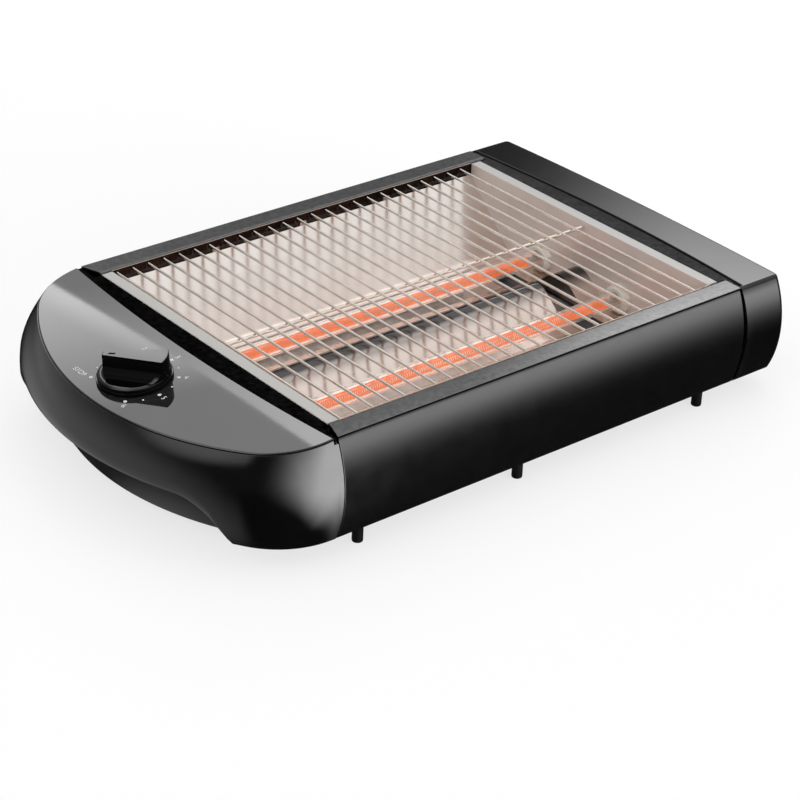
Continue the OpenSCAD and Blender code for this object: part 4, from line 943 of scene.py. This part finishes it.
# ---------------------------------------------------------------- knob, dial and feet
def timer_knob():
    """Grooved skirt and a tapered grip, scooped on both sides, with a cut for the pointer line."""
    place = ON_PANEL @ Matrix.Rotation(KNOB_ANGLE, 4, "Z")
    r, low = KNOB_D / 2, KNOB_GAP
    top, grip_r = low + SKIRT_H, GRIP_L / 2
    high = top + GRIP_H
    skirt = [(0, low + KNOB_WELL), (r - 2, low + KNOB_WELL), (r - 2, low), (r - 0.4, low), (r, low + 0.4),
             (r, low + 1.2), (r - 0.3, low + 1.55), (r - 1.1, low + 1.6), (r - 1.1, low + 2.0),
             (r - 0.7, low + 2.1), (r - 0.6, low + 2.5), (r - 0.7, low + 2.9), (r - 1.1, low + 3.3),
             (grip_r + 0.5, top - 0.15), (grip_r, top), (0, top)]
    ob = to_object("knob_turning", Build().lathe(skirt, steps=128), place)
    edge = curve(Vector((grip_r, high - 0.6)), Vector((grip_r, high)), Vector((grip_r - 0.6, high)), 4)
    barrel = Build().lathe([(0, top - 0.9), (grip_r, top - 0.9), *edge, (0, high)], steps=128)
    grip = to_object("grip", barrel, place @ Matrix.Translation((-GRIP_BACK, 0, 0)))
    scoop, past = 0.9 * GRIP_H, 40
    foot = GRIP_W / 2 + scoop
    cutters = []
    for side in (-1, 1):
        turned = place @ Matrix.Rotation(-side * GRIP_TAPER, 4, "Z")
        lie = turned @ Matrix.Translation((0, side * foot, top + scoop + 0.03))
        lie = lie @ Matrix.Rotation(math.pi / 2, 4, "Y")
        cutters.append(to_object("scoop", Build().rod(scoop, -past, past, lie, 96)))
        y0, y1 = sorted((side * foot, side * 60))
        cutters.append(to_object("side_cut", Build().box((-past, y0, top - 2), (past, y1, high + 5)), turned))
    front = grip_r - GRIP_BACK
    pointer = Build().box((front - 7, -0.7, high - 0.8), (front - 3.4, 0.7, high + 1))
    cutters.append(to_object("pointer", pointer, place))
    combine(grip, cutters, "DIFFERENCE")
    combine(ob, [grip], "UNION")
    shade(ob, bevel=0.35, segments=3, bevel_angle=45)
    dress(ob, "gloss_black", ["timer_knob"], body="knob", finish=KNOB_BLACK)


MARK_R = 22.9
MARKS = 13
SMALL_DOT_R, LARGE_DOT_R = 0.55, 1.0
MARK_SWEEP = 2 * STOP_ANGLE
STOP_TEXT_ANGLE = math.radians(126)
PRINT_T = 0.05
DIGIT_SIZE = 4.2
DIGIT_OUT, STOP_OUT = 3.9, 7.5


def dial_marks():
    build = Build()
    for k in range(MARKS):
        angle = STOP_ANGLE - MARK_SWEEP * k / (MARKS - 1)
        place = ON_PANEL @ Matrix.Rotation(angle, 4, "Z") @ Matrix.Translation((MARK_R, 0, 0))
        build.rod(SMALL_DOT_R if k % 2 else LARGE_DOT_R, 0, PRINT_T, place, 32)
    dress(shade(to_object("dial_ticks", build)), "lead_white", finish=DIAL_WHITE)


def lettering(words, name, angle, radius):
    """Printed word on the panel, level for a user in front of it."""
    text = bpy.data.curves.new(name, "FONT")
    text.body = words
    text.size = DIGIT_SIZE * MM
    text.extrude = PRINT_T / 2 * MM
    text.align_x = "CENTER"
    text.align_y = "CENTER"
    holder = bpy.data.objects.new(name, text)
    bpy.context.scene.collection.objects.link(holder)
    deps = bpy.context.evaluated_depsgraph_get()
    mesh = bpy.data.meshes.new_from_object(holder.evaluated_get(deps), depsgraph=deps)
    bpy.data.objects.remove(holder)
    bpy.data.curves.remove(text)
    x, y = radius * math.cos(angle), radius * math.sin(angle)
    shift = Matrix.Translation((MID_X * MM, 0, 0))
    spot = Matrix.Translation((x * MM, y * MM, PRINT_T / 2 * MM))
    panel = Matrix.Translation((KNOB_X * MM, 0, panel_z(KNOB_X) * MM)) @ Matrix.Rotation(-SLOPE, 4, "Y")
    mesh.transform(shift @ panel @ spot @ Matrix.Rotation(-math.pi / 2, 4, "Z"))
    ob = bpy.data.objects.new(name, mesh)
    bpy.context.scene.collection.objects.link(ob)
    dress(ob, "lead_white", finish=DIAL_WHITE)


def dial_lettering():
    for number in range(1, 7):
        angle = STOP_ANGLE - MARK_SWEEP * 2 * number / (MARKS - 1)
        lettering(str(number), f"dial_{number}", angle, MARK_R + DIGIT_OUT)
    lettering("STOP", "dial_stop", STOP_TEXT_ANGLE, MARK_R + STOP_OUT)


def feet():
    build = Build()
    slack, edge = 0.01, 0.9
    r = FOOT_D / 2 - slack
    profile = rounded([(0, 0), (r, 0), (r, SIDE_Z), (0, SIDE_Z)], edge, 5)
    for side in (-1, 1):
        for x in FOOT_PLACES:
            place = Matrix.Translation((x - SEAM_X, side * (HALF_W - FOOT_IN), 0))
            build.lathe(profile, place, 40)
    dress(shade(to_object("foot_pegs", build)), "rubber", ["feet"])


front_housing()
control_panel()
end_cap()
for side, hand in ((-1, "right"), (1, "left")):
    side_panel(side, hand)
    side_rail(side, hand)
    heating_tube(side, hand)
grill()
reflector()
tube_holders(-1, "front")
tube_holders(1, "rear")
tray_front()
timer_knob()
dial_marks()
dial_lettering()
feet()

# ---------------------------------------------------------------- floor and backdrop, light, camera
scene = bpy.context.scene
scene.view_settings.view_transform = "Standard"


def pale_stage(name, build, tone, lit):
    """Pale floor or backdrop, partly lit for the camera and through glass. Gloss shows the world instead."""
    ob = to_object(name, build)
    f = Finish(name, Emission_Color=(1, 1, 1, 1))
    cloud = f.uneven(400, 3)
    path = f.node("LightPath").outputs
    seen = f.math("MAXIMUM", path["Is Camera Ray"], path["Is Transmission Ray"])
    plain = f.blend(cloud, (tone - 0.02,) * 3, (tone,) * 3)
    glow = f.product(seen, lit)
    f.put("Base Color", f.blend(glow, plain, (0, 0, 0)))
    f.put("Emission Strength", glow)
    f.put("Roughness", f.scaled(cloud, 0, 1, 0.7, 0.85))
    f.bump(f.noise(20, 2), 0.001)
    ob.data.materials.append(f.material)
    ob.visible_glossy = False
    return ob


FLOOR_R, WALL_FOOT, WALL_H = 9000, -20, 5000
PALE = 0.96
ring = [(FLOOR_R * math.cos(a), FLOOR_R * math.sin(a)) for a in turns(96)]
pale_stage("floor", Build().face([(x, y, 0) for x, y in ring]), PALE, 0.72)
wall = Build().loft([[(x, y, z) for x, y in ring] for z in (WALL_FOOT, WALL_H)], ends=False)
backdrop = pale_stage("backdrop", wall, PALE, 0.9)
backdrop.visible_diffuse = False
backdrop.visible_shadow = False

# Studio round the toaster, by bearing and height in degrees: even light, round lamps overhead and in front,
# and large soft lamps beside and behind it, over a dark table
world = bpy.data.worlds.new("studio")
scene.world = world
world.use_nodes = True
sky = Nodes(world.node_tree)
toward = sky.node("TexCoord").outputs["Generated"]
parts = sky.node("SeparateXYZ", {"Vector": toward}).outputs
bearing = sky.product(sky.math("ARCTAN2", parts["Y"], parts["X"]), 180 / math.pi)
height = sky.product(sky.math("ARCSINE", parts["Z"]), 180 / math.pi)

front_dark = sky.product(sky.ramp(parts["X"], -0.2, -0.6), sky.ramp(height, 48, 35), -0.85)
rear_dark = sky.product(sky.band(bearing, 40, 44, 55, 58), sky.band(height, 5, 12, 26, 28), -0.7)
even = sky.product(sky.ramp(height, -6, 3), sky.sum(front_dark, rear_dark, 1.0), 0.30)


def round_lamp(aim, edge, core, strength):
    """Soft lamp round a direction; its edge and core are cosines of the angle from it."""
    return sky.product(sky.ramp(sky.dot(toward, Vector(aim).normalized()), edge, core), strength)


overhead = round_lamp((0.22, 0.262, 0.94), 0.75, 0.90, 0.75)
trough_lamp = round_lamp((0.54, -0.42, 0.73), 0.87, 0.97, 0.55)
fill_lamp = round_lamp((-0.62, 0.12, 0.77), 0.87, 0.96, 1.5)
front_lamp = round_lamp((-0.710, 0.596, -0.375), 0.5, 0.94, 0.85)

# Beside the near wall: the key lamp, with slanted edges, and the side lamp farther toward the end cap
left_of = sky.product(sky.math("MINIMUM", sky.sum(bearing, 70.0), 0.0), 0.7)
right_of = sky.product(sky.math("MAXIMUM", sky.sum(bearing, 55.0), 0.0), 0.25)
lower = sky.sum(height, left_of, right_of)
upper = sky.sum(height, sky.product(sky.sum(bearing, 80.0), 0.4))
key_lamp = sky.product(sky.math("POWER", sky.scaled(bearing, -150, -82, 0, 1), 2.5),
                       sky.ramp(parts["X"], 0.49, 0.43), sky.ramp(bearing, -15, -25),
                       sky.ramp(lower, -60, -18), sky.ramp(upper, 24, 13), 9.0)
side_lamp = sky.product(sky.math("POWER", sky.ramp(height, -40, 12), 3.7), sky.ramp(parts["X"], 0.43, 0.49),
                        sky.ramp(bearing, -38, -42), sky.ramp(height, 19, 9), 4.0)

# Behind the toaster: the lamp that the control panel shows, in two halves split along a slanted line,
# and those over the end cap
slanted = sky.sum(bearing, sky.product(height, 1.165))
beside = sky.product(sky.ramp(slanted, 105.4, 104.3), sky.ramp(height, 36.4, 34.8), 1.2)
left_half = sky.product(sky.ramp(slanted, 104.23, 104.31),
                        sky.sum(sky.scaled(height, 33.4, 36.2, 3.7, 1.1), beside))
right_half = sky.product(sky.ramp(slanted, 104.31, 104.23), sky.scaled(height, 33.2, 37.8, 1.05, 3.6))
panel_lamp = sky.product(sky.sum(left_half, right_half), sky.band(bearing, 55, 58, 70, 74),
                         sky.band(height, 30.5, 32, 40, 42))
rear_lamp = sky.product(sky.scaled(height, 22.6, 27.4, 0, 4.5), sky.band(bearing, 22, 28, 42, 47.5),
                        sky.ramp(height, 36, 31))
floor_glow = sky.product(sky.band(bearing, 42, 45, 54, 57), sky.band(height, 27, 29, 33, 36), 0.3)
total = sky.sum(even, 0.02, overhead, fill_lamp, trough_lamp, front_lamp, key_lamp, side_lamp, panel_lamp,
                rear_lamp, floor_glow)
background = world.node_tree.nodes["Background"]
background.inputs["Color"].default_value = (1, 1, 1, 1)
world.node_tree.links.new(total, background.inputs["Strength"])

# Camera as fitted to the photo, in metres
CAMERA_PLACE = Vector((-0.7675, -0.9234, 0.6662))
CAMERA_AHEAD = Vector((0.5666, 0.6653, -0.4862)).normalized()
CAMERA_ROLL = math.radians(2.47)
FOCAL_PX, FRAME_PX, SENSOR = 2439, 800, 36
level = CAMERA_AHEAD.cross(Vector((0, 0, 1))).normalized()
up = level.cross(CAMERA_AHEAD)
right = level * math.cos(CAMERA_ROLL) + up * math.sin(CAMERA_ROLL)
up = right.cross(CAMERA_AHEAD)
camera = bpy.data.cameras.new("camera")
camera.sensor_width = SENSOR
camera.lens = FOCAL_PX / FRAME_PX * SENSOR
camera.clip_start = 0.05
eye = bpy.data.objects.new("camera", camera)
eye.matrix_world = Matrix.Translation(CAMERA_PLACE) @ Matrix((right, up, -CAMERA_AHEAD)).transposed().to_4x4()
scene.collection.objects.link(eye)
scene.camera = eye

bpy.context.view_layer.update()
